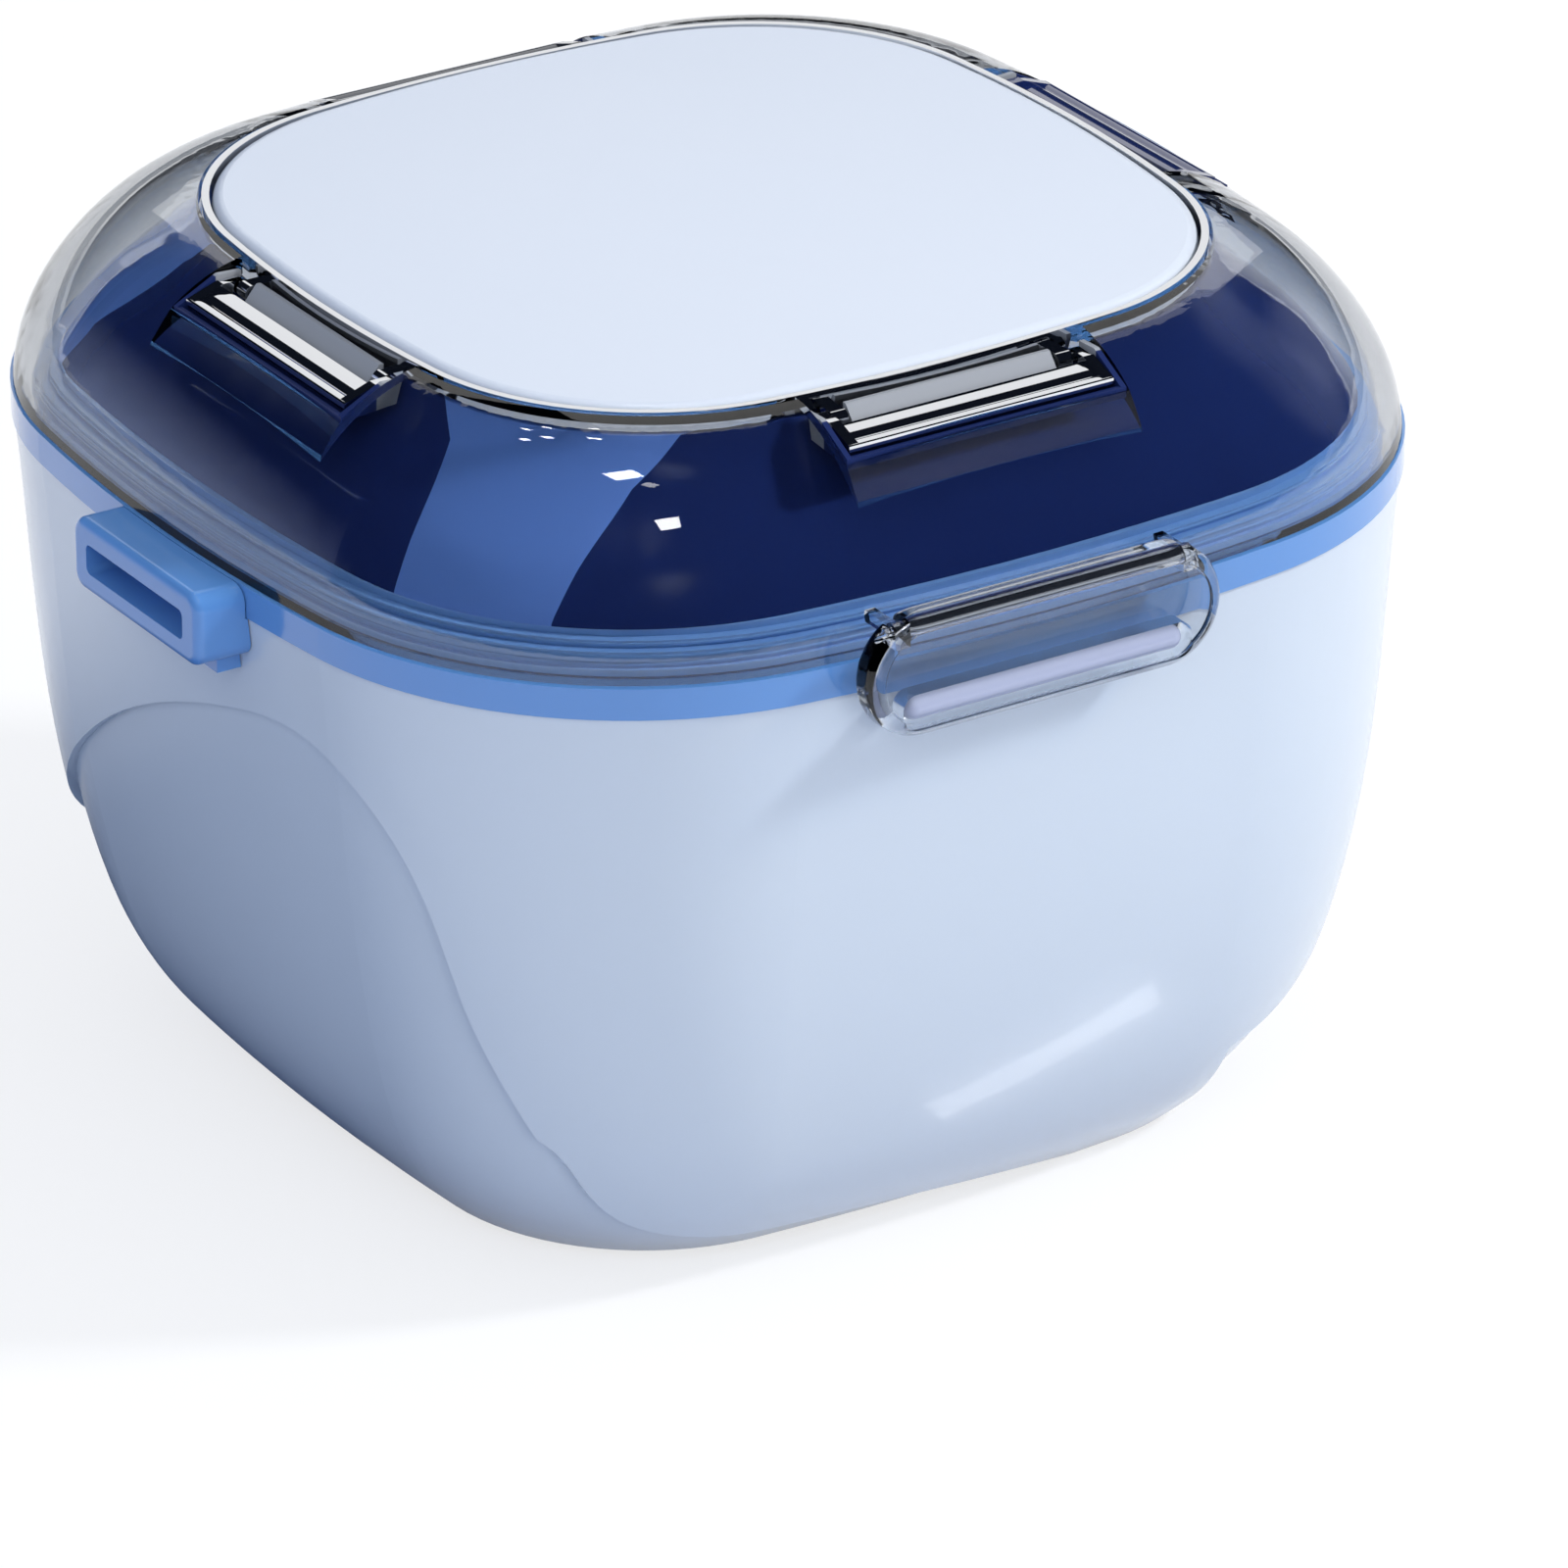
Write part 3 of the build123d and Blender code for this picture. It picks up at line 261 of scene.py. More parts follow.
@dataclass(frozen=True)
class ClearPlastic:
    """Clear polycarbonate or acrylic from a polished mould; lamps reach what is behind it.

    Looked at edge on, the wall is many times thicker and takes on the grey of the resin. That grey
    is also painted reflection: it stands in for the grey surroundings that the clear edge mirrors
    and bends.
    """

    name: str
    tint: str
    edge_tint: str
    edge_from: float
    ior: float = 1.49
    roughness: float = 0.0
    flow_mm: float = 30.0
    flow_height_mm: float = 0.02

    def material(self) -> bpy.types.Material:
        """Build the material from the finish's own values.

        Returns:
            The finished material.
        """
        material, tree = fresh_tree(self.name)
        place = add_node(tree, "ShaderNodeTexCoord").outputs["Object"]
        # Grey towards the edges: partly the resin's own grey, partly painted reflection of the grey
        # surroundings.
        facing = add_node(tree, "ShaderNodeLayerWeight", None, {"Blend": 0.5})
        edge = add_node(tree, "ShaderNodeMapRange", None, {
            "Value": facing.outputs["Facing"], "From Min": self.edge_from, "From Max": 1.0})
        tint = add_node(tree, "ShaderNodeMix", {"data_type": "RGBA"}, {
            0: edge.outputs["Result"], 6: linear(self.tint), 7: linear(self.edge_tint)})
        glass = add_node(tree, "ShaderNodeBsdfPrincipled", None, {
            "Base Color": tint.outputs[2], "Roughness": self.roughness, "IOR": self.ior,
            "Transmission Weight": 1.0,
            "Normal": relief(tree, place, self.flow_mm, self.flow_height_mm, 1.0)})
        through = add_node(tree, "ShaderNodeBsdfTransparent", None, {"Color": linear(self.tint)})
        path = add_node(tree, "ShaderNodeLightPath")
        mix = add_node(tree, "ShaderNodeMixShader", None, {
            0: path.outputs["Is Shadow Ray"], 1: glass.outputs[0], 2: through.outputs[0]})
        add_node(tree, "ShaderNodeOutputMaterial", None, {"Surface": mix.outputs[0]})
        return material


@dataclass(frozen=True)
class ChromePlate:
    """Bright metal: chrome over moulded plastic, ground steel wire or the silver of a mirror."""

    name: str
    colour: str = "e4e6ea"
    roughness: float = 0.04
    wave_mm: float = 6.0
    wave_height_mm: float = 0.01

    def material(self) -> bpy.types.Material:
        """Build the material from the finish's own values.

        Returns:
            The finished material.
        """
        material, tree = fresh_tree(self.name)
        place = add_node(tree, "ShaderNodeTexCoord").outputs["Object"]
        shader = add_node(tree, "ShaderNodeBsdfPrincipled", None, {
            "Base Color": linear(self.colour), "Metallic": 1.0, "Roughness": self.roughness,
            "Normal": relief(tree, place, self.wave_mm, self.wave_height_mm, 1.0)})
        add_node(tree, "ShaderNodeOutputMaterial", None, {"Surface": shader.outputs[0]})
        return material


class Finish(Enum):
    """Every finish on the case."""

    # Polypropylene from an etched mould: milky, evenly coloured, with soft broad reflections.
    TUB = MouldedPlastic("polypropylene_satin_pale_blue", "d5dde3", "d0d9e0", 0.22,
                         coat=0.35)
    # Gloss ABS: a clear mid blue with sharp thin highlights along its edges.
    COLLAR = MouldedPlastic("abs_gloss_collar_blue", "6095d2", "5c8fcb", 0.12, coat=0.5)
    # The same ABS, rubbed a little duller than the collar by the cord that it carries.
    LOOP = MouldedPlastic("abs_gloss_loop_blue", "5f93d0", "5b8eca", 0.18, coat=0.3)
    # Gloss ABS in navy: nearly black in shade. Its relief is no grain but the wide, low sink of a
    # thick moulding under the shine.
    LINER = MouldedPlastic("abs_high_gloss_navy", "203168", "1c2b60", 0.08, coat=0.6,
                           grain_mm=9.0, grain_height_mm=0.006)
    # Light-blue straps down the dome's corners, as glossy as the navy round it: painted light,
    # their colour stands in for the lit bands between the dome's shaded parts.
    INLAY = MouldedPlastic("painted_lit_band_blue", "759ff2", "7098ea", 0.08, coat=0.6,
                           grain_mm=9.0, grain_height_mm=0.006)
    # Gloss ABS behind the clear skirt: its steps read as fine light and dark lines.
    SEAL = MouldedPlastic("abs_gloss_seal_blue", "80ade6", "7aa6df", 0.15, coat=0.5)
    # Moulded silicone: matt and slightly grey, with no sharp highlight.
    GASKET = MouldedPlastic("silicone_moulded_grey", "c9ced6", "c2c8d0", 0.5)
    # ABS from a finely blasted mould: a smooth, cool, nearly white sheet with a dull sheen.
    PANEL = MouldedPlastic("abs_satin_panel_white", "d5dbe4", "d2d9e3", 0.3, coat=0.15)
    # Polypropylene again, whiter than the tub: nearly plain, and slightly waxy.
    BASKET = MouldedPlastic("polypropylene_basket_white", "e6ebf2", "e1e7ef", 0.35)
    # Acetal, slippery and polished by the latch: a cool grey-white with one long highlight.
    CATCH = MouldedPlastic("acetal_catch_white", "adb3c9", "a8aec5", 0.15, coat=0.5)
    # The right pull, the same chrome bar as the others, as a glossy navy bar that shows the room in
    # its top: the navy is painted reflection of the navy dome round it.
    PULL_NAVY = MouldedPlastic("pull_painted_navy_reflection", "1b2a5c", "182553", 0.1, coat=1.0)
    # The back pull, the same chrome bar again, in dark grey and a little less glossy: the grey is
    # painted dark reflection.
    PULL_GREY = MouldedPlastic("pull_painted_grey_reflection", "3c4048", "363a42", 0.15, coat=0.6)
    # A blasted grey floor, fine-grained, in a dull navy tray that is lost against the dome.
    TRAY = TrayPlastic("abs_two_shot_tray")
    # Silvered acrylic: a clean mirror, with only the slow wave of the sheet.
    MIRROR = ChromePlate("acrylic_mirror_silvered", "eef0f2", 0.01, wave_mm=30.0)
    # Chrome over ABS: hard white and black bands that bend a little with the moulding's waves.
    CHROME = ChromePlate("chrome_plated_abs")
    # Ground stainless wire: as bright as chrome but softer, its bands blurred.
    STEEL = ChromePlate("stainless_wire_ground", "d6d8dc", 0.12)
    # Polycarbonate from a polished mould: clear, with a cool grey where it is seen edge on.
    CLEAR = ClearPlastic("polycarbonate_clear_polished", "f6f9fc", "848c9b", 0.55)
    # Acrylic, clearer than the lid: a block of glass with a bright outline.
    LATCH = ClearPlastic("acrylic_clear_latch", "f4f7fb", "b2b6c0", 0.6)

    def dress(self, *pieces: bpy.types.Object) -> None:
        """Put this finish on pieces, in place of what they have.

        Args:
            pieces: Mesh objects, new or carried over.
        """
        material = bpy.data.materials.get(self.value.name) or self.value.material()
        for piece in pieces:
            piece.data.materials.clear()
            piece.data.materials.append(material)


# ---------------------------------------------------------------- studio

def looked_at(tree: bpy.types.NodeTree, path: bpy.types.Node) -> bpy.types.NodeSocket:
    """Tell the eye, gloss and clear plastic from the light that only falls on matt surfaces.

    Args:
        tree: The tree of the floor or of the world.
        path: Its Light Path node.

    Returns:
        A socket that is 1 for what looks and 0 for the rest.
    """
    direct = add_node(tree, "ShaderNodeMath", {"operation": "MAXIMUM"}, {
        0: path.outputs["Is Camera Ray"], 1: path.outputs["Is Transmission Ray"]})
    return add_node(tree, "ShaderNodeMath", {"operation": "MAXIMUM"}, {
        0: direct.outputs[0], 1: path.outputs["Is Glossy Ray"]}).outputs[0]


@dataclass
class SoftLamp:
    """One square studio lamp that looks at a point of the case; metres and watts."""

    name: str
    place: tuple[float, float, float]
    target: tuple[float, float, float]
    size: float
    power: float
    colour: str = "ffffff"

    def build(self) -> None:
        """Make the lamp."""
        data = bpy.data.lights.new(self.name, "AREA")
        data.size = self.size
        data.energy = self.power
        data.color = linear(self.colour)[:3]
        lamp = bpy.data.objects.new(self.name, data)
        lamp.visible_glossy = False
        lamp.visible_transmission = False
        bpy.context.scene.collection.objects.link(lamp)
        lamp.location = self.place
        look = Vector(self.target) - Vector(self.place)
        lamp.rotation_euler = look.to_track_quat("-Z", "Y").to_euler()


@dataclass(frozen=True)
class TentWindow:
    """An opening in the tent's cloth, in degrees of turn and rise."""

    turn_from: float
    turn_to: float
    rise_from: float
    rise_to: float

    def holds(self, turn: float, rise: float) -> bool:
        """Say whether a direction looks through this window."""
        return self.turn_from <= turn <= self.turn_to and self.rise_from <= rise <= self.rise_to


@dataclass(frozen=True)
class GlowPatch:
    """A round place where the tent's cloth glows softly paler, in degrees: a soft light that shiny
    pieces show as a painted pale reflection.
    """

    turn: float
    rise: float
    spread: float
    colour: str


@dataclass
class DarkTent:
    """Dark cloth hung high round the set: it puts the dark in chrome and gloss.

    Only gloss and clear plastic see it. The cloth starts above the horizon, so that they still show
    the white surroundings low down, and its windows give chrome its white bands.
    """

    name: str = "dark_tent"
    low_degrees: float = 2.0
    radius: float = 4.5
    rings: int = 90
    colour: str = "10141d"
    windows: tuple[TentWindow, ...] = (
        TentWindow(40.0, 62.0, 18.0, 50.0),
        TentWindow(62.0, 78.0, 20.0, 39.0),
    )
    # Paler glow on the cloth: painted reflections, soft pale light that the dome and other shiny
    # pieces mirror.
    glow_patches: tuple[GlowPatch, ...] = (
        GlowPatch(126.0, 2.0, 21.0, "a9b6da"),
        GlowPatch(12.0, 18.0, 17.0, "8d92a0"),
    )

    def build(self) -> None:
        """Shape the cloth from a sphere and cut its windows."""
        bpy.ops.object.select_all(action="DESELECT")
        bpy.ops.mesh.primitive_uv_sphere_add(
            segments=self.rings, ring_count=self.rings, radius=self.radius)
        cloth = bpy.context.object
        cloth.name = self.name
        bpy.ops.object.mode_set(mode="EDIT")
        bpy.ops.mesh.select_all(action="DESELECT")
        bpy.ops.object.mode_set(mode="OBJECT")
        for face in cloth.data.polygons:
            face.select = self.is_open(face.center)
        bpy.ops.object.mode_set(mode="EDIT")
        bpy.ops.mesh.select_mode(type="FACE")
        bpy.ops.mesh.delete(type="FACE")
        bpy.ops.object.mode_set(mode="OBJECT")
        show_only_in_gloss(cloth, through_glass=True)
        material, tree = fresh_tree("black_velvet_cloth")
        place = add_node(tree, "ShaderNodeTexCoord").outputs["Object"]
        outward = add_node(tree, "ShaderNodeVectorMath", {"operation": "NORMALIZE"}, {0: place})
        shade = linear(self.colour)
        # Each patch blends the cloth towards a paler glow: painted reflection in what mirrors it.
        for patch in self.glow_patches:
            near = add_node(tree, "ShaderNodeVectorMath", {"operation": "DOT_PRODUCT"}, {
                0: outward.outputs["Vector"], 1: towards(patch.turn, patch.rise)})
            share = add_node(tree, "ShaderNodeMapRange", {"interpolation_type": "SMOOTHSTEP"}, {
                "Value": near.outputs["Value"], "From Max": 1.0,
                "From Min": math.cos(math.radians(patch.spread))})
            shade = add_node(tree, "ShaderNodeMix", {"data_type": "RGBA"}, {
                0: share.outputs["Result"], 6: shade, 7: linear(patch.colour)}).outputs[2]
        shader = add_node(tree, "ShaderNodeEmission", None, {"Color": shade, "Strength": 1.0})
        add_node(tree, "ShaderNodeOutputMaterial", None, {"Surface": shader.outputs[0]})
        cloth.data.materials.append(material)

    def is_open(self, centre: Vector) -> bool:
        """Say whether the cloth is missing here.

        Args:
            centre: The middle of one face of the cloth.

        Returns:
            True below the cloth's edge and inside a window.
        """
        rise = math.degrees(math.asin(max(-1.0, min(1.0, centre.z / centre.length))))
        turn = math.degrees(math.atan2(centre.y, centre.x)) % 360.0
        return rise < self.low_degrees or any(window.holds(turn, rise) for window in self.windows)


@dataclass
class GlintLamp:
    """A small bright lamp far off that only shiny pieces see: it puts one glint on the dome.

    Its turn, rise, width and height are in degrees as seen from the case.
    """

    name: str
    turn: float
    rise: float
    width: float
    height: float
    strength: float = 25.0
    distance: float = 4.3

    def build(self) -> None:
        """Hang the lamp at its turn and rise, facing the case."""
        one_degree = self.distance * math.radians(1.0)
        lean = (math.radians(90 - self.rise), 0.0, math.radians(self.turn - 90))
        bpy.ops.object.select_all(action="DESELECT")
        bpy.ops.mesh.primitive_plane_add(
            size=one_degree, location=towards(self.turn, self.rise) * self.distance, rotation=lean)
        lamp = bpy.context.object
        lamp.name = self.name
        lamp.scale = (self.width, self.height, 1.0)
        bpy.ops.object.transform_apply(location=True, rotation=True, scale=True)
        show_only_in_gloss(lamp)
        material, tree = fresh_tree("lamp_" + self.name)
        shader = add_node(tree, "ShaderNodeEmission", None, {
            "Color": linear("ffffff"), "Strength": self.strength})
        add_node(tree, "ShaderNodeOutputMaterial", None, {"Surface": shader.outputs[0]})
        lamp.data.materials.append(material)


@dataclass
class FloorCard:
    """A card on the floor that only shiny pieces see: either a dark one, which puts painted shade
    into what mirrors it, or a lit strip, which puts a painted highlight there.

    The card may fade out round a middle, so that its edge leaves no line in what mirrors it.
    fade_mm then holds the middle's x and y, the radius up to which the card is full, and the one
    where it ends.
    """

    name: str
    corners_mm: tuple[tuple[float, float], ...]
    colour: str
    strength: float = 1.0
    fade_mm: tuple[float, float, float, float] | None = None
    lift: float = 0.0004

    def build(self) -> None:
        """Lay the card on the floor, its four corners in turn, face up."""
        bpy.ops.object.select_all(action="DESELECT")
        bpy.ops.mesh.primitive_plane_add(size=1.0)
        card = bpy.context.object
        card.name = self.name
        turns = sorted(card.data.vertices, key=lambda v: math.atan2(v.co.y, v.co.x))
        for vertex, (x, y) in zip(turns, self.corners_mm):
            vertex.co = (x * MM, y * MM, self.lift)
        show_only_in_gloss(card)
        material, tree = fresh_tree("painted_reflection_card_" + self.name)
        shader = add_node(tree, "ShaderNodeEmission", None, {
            "Color": linear(self.colour), "Strength": self.strength})
        if self.fade_mm:
            middle_x, middle_y, full, gone = self.fade_mm
            place = add_node(tree, "ShaderNodeTexCoord").outputs["Object"]
            apart = add_node(tree, "ShaderNodeVectorMath", {"operation": "DISTANCE"}, {
                0: place, 1: (middle_x * MM, middle_y * MM, self.lift)})
            share = add_node(tree, "ShaderNodeMapRange", {"interpolation_type": "SMOOTHSTEP"}, {
                "Value": apart.outputs["Value"], "From Min": full * MM, "From Max": gone * MM,
                "To Min": 1.0, "To Max": 0.0})
            clear = add_node(tree, "ShaderNodeBsdfTransparent")
            shader = add_node(tree, "ShaderNodeMixShader", None, {
                0: share.outputs["Result"], 1: clear.outputs[0], 2: shader.outputs[0]})
        add_node(tree, "ShaderNodeOutputMaterial", None, {"Surface": shader.outputs[0]})
        card.data.materials.append(material)


@dataclass
class Studio:
    """Pale floor, soft lamps, white surroundings, dark cards and the camera."""

    camera_mm: tuple[float, float, float] = (-461.45, -731.64, 441.71)
    forward: tuple[float, float, float] = (0.4864, 0.7577, -0.4351)
    lens_mm: float = 251.3
    sensor_mm: float = 36.0
    floor_half: float = 6.0
    floor_drop: float = 0.0001
    white: str = "fbfbfb"
    bright_side: tuple[float, float, float] = (0.62, -0.45, 0.65)
    dim_side: str = "93a7cd"
    light_side: str = "e6e9ed"
    floor_colour: str = "929292"
    bounce_colour: str = "98a5c0"
    floor_glow: float = 0.74
    floor_through: float = 0.3
    lamps: list[SoftLamp] = field(default_factory=lambda: [
        SoftLamp("key_lamp", (0.95, -0.62, 0.95), (0.0, 0.0, 0.04), 0.16, 12.0),
        SoftLamp("front_lamp", (0.0, -1.7, 0.45), (0.0, 0.0, 0.04), 0.8, 5.4),
        SoftLamp("left_lamp", (-1.3, -1.0, 1.2), (0.0, 0.0, 0.06), 0.8, 5.0, "eef2ff"),
    ])
    tent: DarkTent = field(default_factory=DarkTent)
    cards: list[FloorCard] = field(default_factory=lambda: [
        # Painted shade: the tub's left side mirrors this dark card as the shaded floor beside it.
        FloorCard("dark_side_card",
                  ((-200.0, -100.0), (40.0, -100.0), (40.0, 150.0), (-200.0, 150.0)),
                  "1f2c4c", fade_mm=(-60.0, 25.0, 30.0, 90.0)),
        FloorCard("lit_strip", ((0.0, -54.0), (31.0, -61.0), (30.0, -57.0), (1.0, -51.0)),
                  "ffffff", 5.0),
    ])
    glints: list[GlintLamp] = field(default_factory=lambda: [
        GlintLamp("glint_a", 74.1, 54.2, 1.0, 2.4),
        GlintLamp("glint_b", 69.3, 52.5, 1.0, 2.4),
        GlintLamp("glint_c", 63.5, 51.9, 1.0, 2.4),
        GlintLamp("glint_d", 82.2, 60.3, 1.2, 2.4),
        GlintLamp("glint_e", 74.5, 58.8, 1.2, 2.4),
        GlintLamp("glint_f", 66.0, 59.0, 1.2, 2.4),
        GlintLamp("glint_high", 84.0, 85.0, 5.0, 5.0),
        GlintLamp("glint_tail", 288.0, 87.0, 2.0, 3.0, 8.0),
        GlintLamp("glint_low", 257.0, 65.5, 5.0, 9.0),
    ])

    def build(self) -> None:
        """Build the whole studio."""
        self.build_floor()
        self.build_world()
        for lamp in self.lamps:
            lamp.build()
        self.tent.build()
        for card in self.cards:
            card.build()
        for glint in self.glints:
            glint.build()
        self.build_camera()

    def build_floor(self) -> None:
        """Lay the floor, which keeps the case's shadow and is lifted towards white to the eye.

        Looked at through clear plastic it is lifted less, which gives the clear edge its grey. The
        light that it throws back on the case is a little bluer than the floor looks.
        """
        bpy.ops.object.select_all(action="DESELECT")
        bpy.ops.mesh.primitive_plane_add(size=2 * self.floor_half, location=(0, 0, 0))
        floor = bpy.context.object
        floor.name = "studio_floor"
        floor.location.z = -self.floor_drop
        material, tree = fresh_tree("painted_floor_white")
        path = add_node(tree, "ShaderNodeLightPath")
        strength = add_node(tree, "ShaderNodeMapRange", None, {
            "Value": path.outputs["Is Transmission Ray"], "To Min": self.floor_glow,
            "To Max": self.floor_through})
        lift = add_node(tree, "ShaderNodeMath", {"operation": "MULTIPLY"}, {
            0: looked_at(tree, path), 1: strength.outputs["Result"]})
        paint = add_node(tree, "ShaderNodeMix", {"data_type": "RGBA"}, {
            0: path.outputs["Is Diffuse Ray"], 6: linear(self.floor_colour),
            7: linear(self.bounce_colour)})
        lit = add_node(tree, "ShaderNodeBsdfDiffuse", None, {"Color": paint.outputs[2]})
        glow = add_node(tree, "ShaderNodeEmission", None, {
            "Color": linear(self.white), "Strength": lift.outputs[0]})
        both = add_node(tree, "ShaderNodeAddShader", None, {0: lit.outputs[0], 1: glow.outputs[0]})
        add_node(tree, "ShaderNodeOutputMaterial", None, {"Surface": both.outputs[0]})
        floor.data.materials.append(material)

    def build_world(self) -> None:
        """Surround the case: white for what looks at it, plainer for the light it gives."""
        world = bpy.data.worlds.new("studio_world")
        world.use_nodes = True
        bpy.context.scene.world = world
        tree = world.node_tree
        tree.nodes.clear()
        path = add_node(tree, "ShaderNodeLightPath")
        shown = add_node(tree, "ShaderNodeBackground", None, {
            "Color": linear(self.white), "Strength": 1.0})
        place = add_node(tree, "ShaderNodeTexCoord").outputs["Generated"]
        side = add_node(tree, "ShaderNodeVectorMath", {"operation": "DOT_PRODUCT"}, {
            0: place, 1: Vector(self.bright_side).normalized()})
        share = add_node(tree, "ShaderNodeMapRange", None, {
            "Value": side.outputs["Value"], "From Min": -1.0, "From Max": 1.0})
        light = add_node(tree, "ShaderNodeMix", {"data_type": "RGBA"}, {
            0: share.outputs["Result"], 6: linear(self.dim_side), 7: linear(self.light_side)})
        glow = add_node(tree, "ShaderNodeBackground", None, {
            "Color": light.outputs[2], "Strength": 1.0})
        mix = add_node(tree, "ShaderNodeMixShader", None, {
            0: looked_at(tree, path), 1: glow.outputs[0], 2: shown.outputs[0]})
        add_node(tree, "ShaderNodeOutputWorld", None, {"Surface": mix.outputs[0]})

    def build_camera(self) -> None:
        """Set the camera at the viewing angle of the case."""
        data = bpy.data.cameras.new("studio_camera")
        data.lens = self.lens_mm
        data.sensor_width = self.sensor_mm
        camera = bpy.data.objects.new("studio_camera", data)
        bpy.context.scene.collection.objects.link(camera)
        camera.location = [value * MM for value in self.camera_mm]
        camera.rotation_euler = Vector(self.forward).to_track_quat("-Z", "Y").to_euler()
        bpy.context.scene.camera = camera


# ---------------------------------------------------------------- the case

@dataclass
class SubAssembly:
    """Pieces that ride on one body: nodes that keep their shape, and what is added to them."""

    body: str = ""
    finishes: dict[str, Finish] = field(default_factory=dict)

    def build(self) -> None:
        """Dress the carried nodes, then make the added pieces."""
        for name, finish in self.finishes.items():
            finish.dress(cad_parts[name])
            log.info("%s: dressed %s in %s", self.body, name, finish.value.name)
        self.build_pieces()

    def build_pieces(self) -> None:
        """Make the added pieces; a sub-assembly without any leaves this out."""

    def take(self, piece: bpy.types.Object, name: str, finish: Finish, slot: str) -> None:
        """Name and dress an added piece, smooth it and let it ride on this body.

        Args:
            piece: The finished mesh object, its place in its mesh.
            name: The piece's name.
            finish: What it is made of.
            slot: Not used.
        """
        piece.name = name
        piece.data.name = name
        finish.dress(piece)
        bpy.ops.object.select_all(action="DESELECT")
        piece.select_set(True)
        bpy.context.view_layer.objects.active = piece
        bpy.ops.object.shade_smooth_by_angle(angle=SMOOTH_BELOW)
        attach(piece, self.body)
        log.info("%s: made %s in %s", self.body, name, finish.value.name)


@dataclass
class BaseAssembly(SubAssembly):
    """Tub, collar, cord loop, catch bar, and the hinge's lower leaf with its pin."""

    body: str = "base_assembly"
    finishes: dict[str, Finish] = field(default_factory=lambda: {
        "tub": Finish.TUB, "rim_collar": Finish.COLLAR, "side_loop": Finish.LOOP,
        "catch_bar": Finish.CATCH, "tub_hinge_leaf": Finish.COLLAR, "hinge_pin": Finish.STEEL})
    head_radius_mm: float = 1.15
    head_rise_mm: float = 0.45
    head_segments: int = 32
    head_rings: int = 24

    def build_pieces(self) -> None:
        """Round over both ends of the hinge pin."""
        for side, name in ((-1, "hinge_pin_head_left"), (1, "hinge_pin_head_right")):
            self.take(self.pin_head("hinge_pin", side), name, Finish.STEEL, "pin_steel")

    def pin_head(self, pin: str, side: int) -> bpy.types.Object:
        """Shape the domed head on one end of a pin that lies along x.

        Known fault: the cut keeps Blender's own tolerance of 0.1 mm, which is coarse for a head
        this low. Within 0.1 mm of the pin's end the mesh is ragged and open, and some faces point
        inwards, other ones in each run. The dome above that is sound. A threshold of 1e-6 for
        the cut gives a closed head.

        Args:
            pin: The pin's node.
            side: -1 for the left end, 1 for the right end.

        Returns:
            The head as a mesh object at the origin, not closed at its foot.
        """
        low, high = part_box(pin)
        end_x = high[0] if side > 0 else low[0]
        centre = (end_x, (low[1] + high[1]) / 2, (low[2] + high[2]) / 2)
        radius, rise = self.head_radius_mm * MM, self.head_rise_mm * MM
        bpy.ops.object.select_all(action="DESELECT")
        bpy.ops.mesh.primitive_uv_sphere_add(
            segments=self.head_segments, ring_count=self.head_rings, radius=1.0,
            location=centre, scale=(rise, radius, radius))
        head = bpy.context.object
        bpy.ops.object.transform_apply(location=True, rotation=True, scale=True)
        bpy.ops.object.mode_set(mode="EDIT")
        bpy.ops.mesh.select_all(action="SELECT")
        bpy.ops.mesh.bisect(
            plane_co=centre, plane_no=(side, 0.0, 0.0), use_fill=True, clear_inner=True)
        bpy.ops.mesh.select_all(action="SELECT")
        bpy.ops.mesh.normals_make_consistent(inside=False)
        bpy.ops.object.mode_set(mode="OBJECT")
        return head


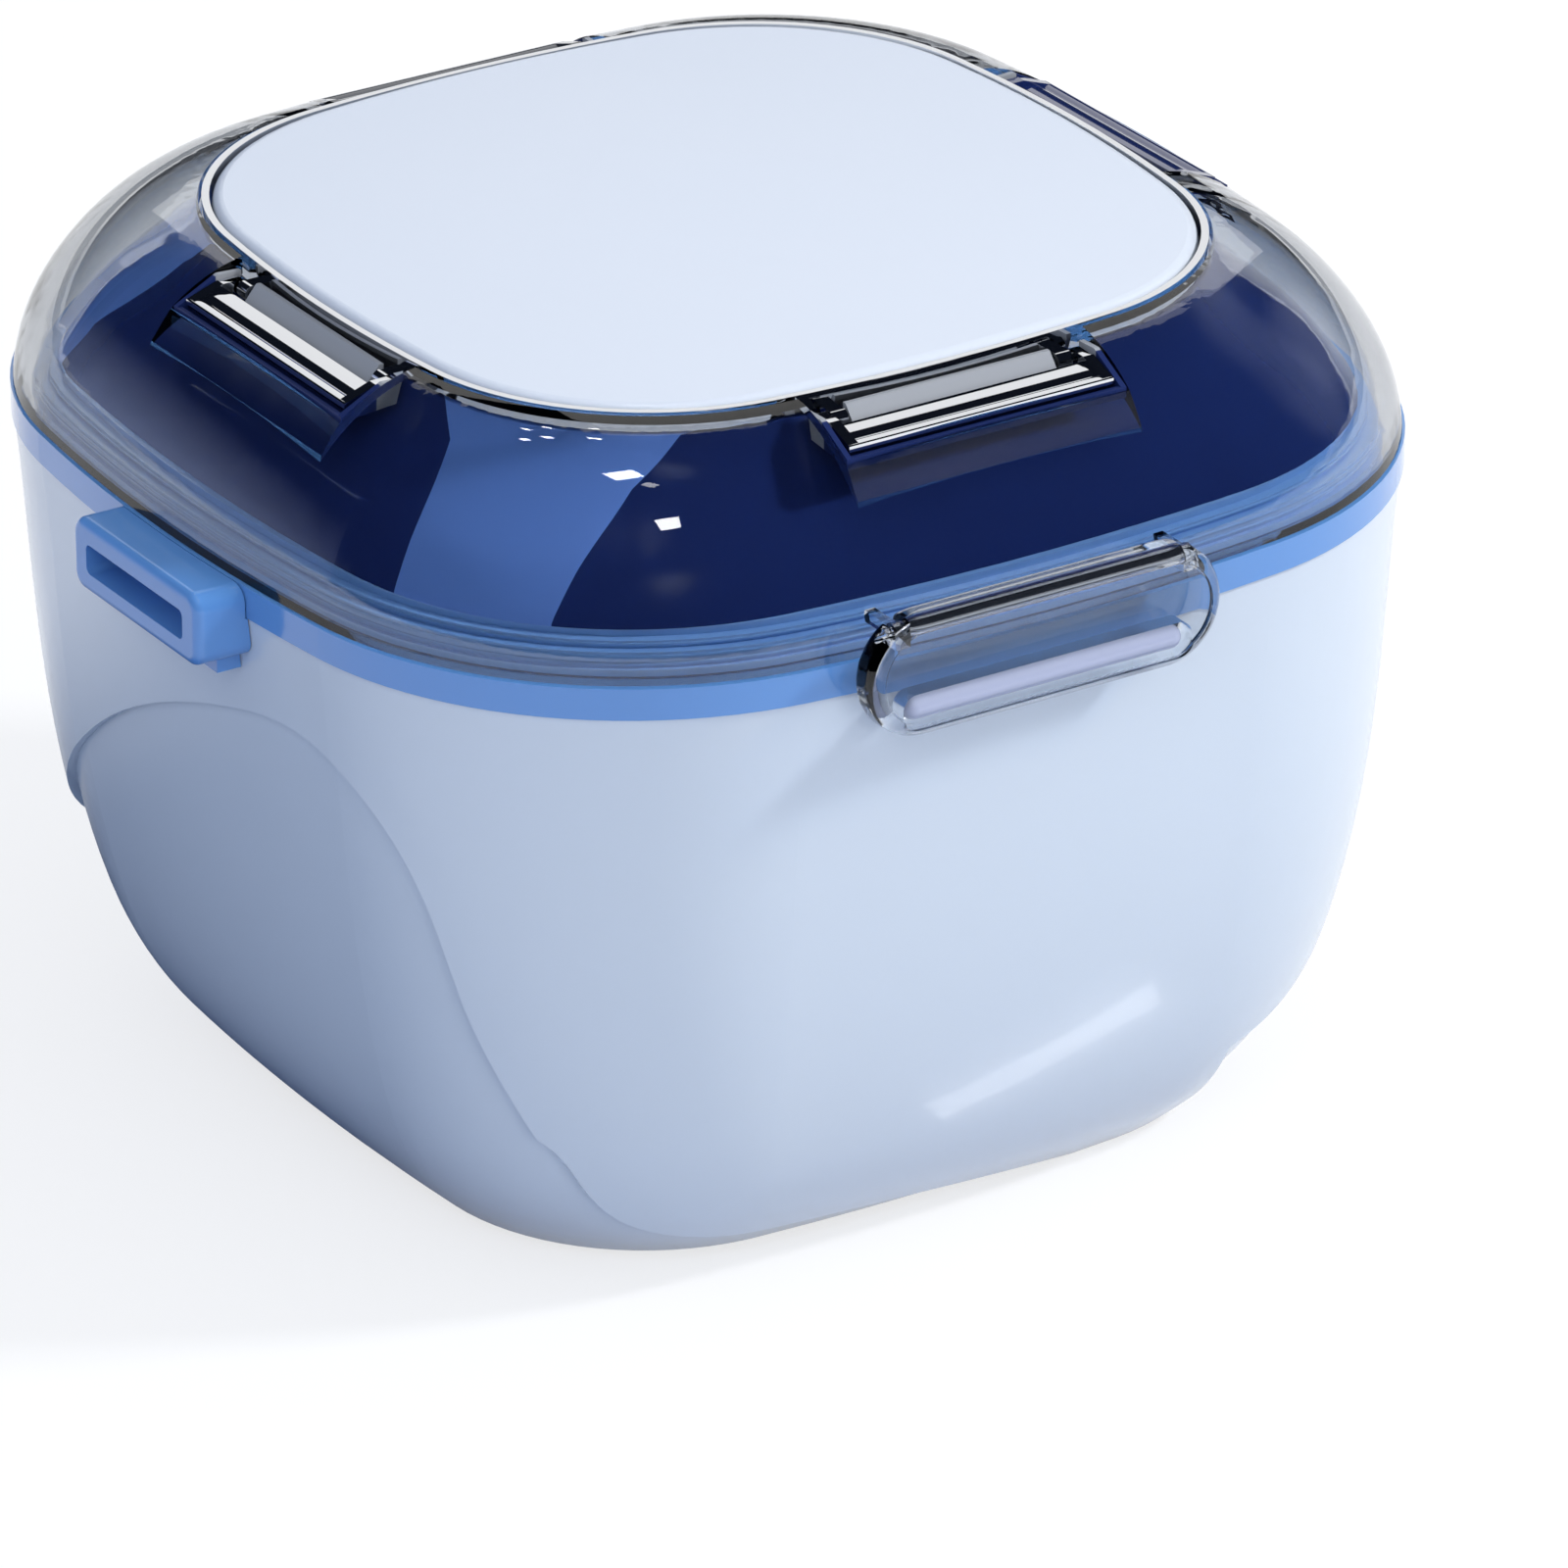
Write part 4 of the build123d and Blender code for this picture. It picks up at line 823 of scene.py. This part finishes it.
@dataclass
class LidAssembly(SubAssembly):
    """Clear dome, seal ring, navy liner with light-blue corner straps, mirror, trays and the
    hinge's upper leaf. The straps' light blue is painted light for the lit bands on the dome.

    The outline is a rounded square, which the beads of the seal ring follow. Its reach and its
    corner share give its corners in shares of half its width.
    """

    body: str = "lid_assembly"
    finishes: dict[str, Finish] = field(default_factory=lambda: {
        "lid_hinge_leaf": Finish.CLEAR, "lid_shell": Finish.CLEAR, "lid_seal_ring": Finish.SEAL,
        "lid_gasket": Finish.GASKET, "lid_liner": Finish.LINER, "corner_strap_front": Finish.INLAY,
        "corner_strap_back": Finish.INLAY, "mirror": Finish.MIRROR, "mirror_frame": Finish.LINER,
        "latch_pin": Finish.STEEL, "pull_cup_front": Finish.TRAY, "pull_cup_right": Finish.TRAY,
        "pull_cup_back": Finish.TRAY, "pull_cup_left": Finish.TRAY})
    reach: float = 1.126
    corner_share: float = 0.62
    bead_points: int = 192
    bead_radius_mm: float = 0.13
    bead_roundness: int = 2
    # Name, half the width of the outline, and height over the foot of the ring.
    beads_mm: tuple[tuple[str, float, float], ...] = (
        ("seal_bead_low", 51.62, 0.95),
        ("seal_bead_middle", 51.62, 1.55),
        ("seal_bead_high", 50.82, 2.2),
    )

    def build_pieces(self) -> None:
        """Lay the three fine beads round the seal ring that show as lines through the skirt."""
        ring_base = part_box("lid_seal_ring")[0][2] / MM
        for name, half_mm, rise_mm in self.beads_mm:
            bead = self.bead(half_mm, ring_base + rise_mm)
            self.take(bead, name, Finish.SEAL, "seal_blue")

    def edge_distance(self, half_mm: float, turn: float) -> float:
        """Distance from the centre to the edge of the lid's rounded square.

        Args:
            half_mm: Half the width of the square.
            turn: Direction from the centre, in radians.

        Returns:
            The distance in mm.
        """
        quarter = math.pi / 2
        turn = math.fabs((turn + quarter / 2) % quarter - quarter / 2)
        corner = half_mm * self.corner_share
        inset = (half_mm * self.reach - corner) / math.sqrt(2)
        beyond = half_mm - inset
        side = (inset ** 2 + beyond ** 2 - corner ** 2) / (2 * (beyond - corner))
        middle = half_mm - side
        apart = math.hypot(inset - middle, inset)
        join = math.atan2(side * inset, apart * middle + side * (inset - middle))
        if turn <= join:
            return self.ray_to_arc(turn, (middle, 0.0), side)
        return self.ray_to_arc(turn, (inset, inset), corner)

    def ray_to_arc(self, turn: float, centre: tuple[float, float], radius: float) -> float:
        """Where a ray from the origin leaves a circle.

        Args:
            turn: Direction of the ray, in radians.
            centre: Centre of the circle.
            radius: Radius of the circle.

        Returns:
            The distance along the ray.
        """
        along = centre[0] * math.cos(turn) + centre[1] * math.sin(turn)
        return along + math.sqrt(along ** 2 - centre[0] ** 2 - centre[1] ** 2 + radius ** 2)

    def bead(self, half_mm: float, height_mm: float) -> bpy.types.Object:
        """Turn a circle into a bead that follows the lid's outline.

        Args:
            half_mm: Half the width of the outline that the bead's middle follows.
            height_mm: Height of its middle.

        Returns:
            The bead as a closed mesh object at the origin.
        """
        bpy.ops.object.select_all(action="DESELECT")
        bpy.ops.mesh.primitive_circle_add(vertices=self.bead_points, radius=half_mm * MM)
        bead = bpy.context.object
        for vertex in bead.data.vertices:
            turn = math.atan2(vertex.co.y, vertex.co.x)
            reach = self.edge_distance(half_mm, turn) * MM
            vertex.co = (reach * math.cos(turn), reach * math.sin(turn), height_mm * MM)
        bpy.ops.object.convert(target="CURVE")
        bead.data.bevel_depth = self.bead_radius_mm * MM
        bead.data.bevel_resolution = self.bead_roundness
        bpy.ops.object.convert(target="MESH")
        bpy.ops.object.mode_set(mode="EDIT")
        bpy.ops.mesh.select_all(action="SELECT")
        bpy.ops.mesh.remove_doubles(threshold=WELD_MM * MM)
        bpy.ops.mesh.normals_make_consistent(inside=False)
        bpy.ops.object.mode_set(mode="OBJECT")
        return bpy.context.object


@dataclass
class PanelAssembly(SubAssembly):
    """Lift-off panel, its bright bezel and the eight pins of the pulls."""

    body: str = "panel"
    finishes: dict[str, Finish] = field(default_factory=lambda: {
        "top_panel": Finish.PANEL, "panel_bezel": Finish.CHROME, "pull_pins": Finish.STEEL})


@dataclass
class FoldingPull(SubAssembly):
    """One of the four pulls beside the panel."""

    side: str = "front"
    finish: Finish = Finish.CHROME

    def __post_init__(self) -> None:
        """Name the body and the node after the side."""
        self.body = self.side + "_pull"
        self.finishes = {"pull_" + self.side: self.finish}


@dataclass
class LatchAssembly(SubAssembly):
    """Clear latch."""

    body: str = "latch"
    finishes: dict[str, Finish] = field(default_factory=lambda: {"latch_plate": Finish.LATCH})


@dataclass
class BasketAssembly(SubAssembly):
    """Strainer basket."""

    body: str = "basket"
    finishes: dict[str, Finish] = field(default_factory=lambda: {"strainer_basket": Finish.BASKET})


@dataclass
class HandleAssembly(SubAssembly):
    """Folding bail of the basket."""

    body: str = "handle"
    finishes: dict[str, Finish] = field(default_factory=lambda: {"basket_handle": Finish.BASKET})


def main() -> None:
    """Build the case and the studio in order."""
    # The right and back pulls are the same chrome bar as the front and left; their navy and grey
    # are painted reflections.
    pulls = [FoldingPull(side="front"), FoldingPull(side="left"),
             FoldingPull(side="right", finish=Finish.PULL_NAVY),
             FoldingPull(side="back", finish=Finish.PULL_GREY)]
    for assembly in (BaseAssembly(), LidAssembly(), PanelAssembly(), *pulls,
                     LatchAssembly(), BasketAssembly(), HandleAssembly()):
        assembly.build()
    Studio().build()
    bpy.context.scene.view_settings.view_transform = "Standard"


if __name__ == "__main__":
    main()
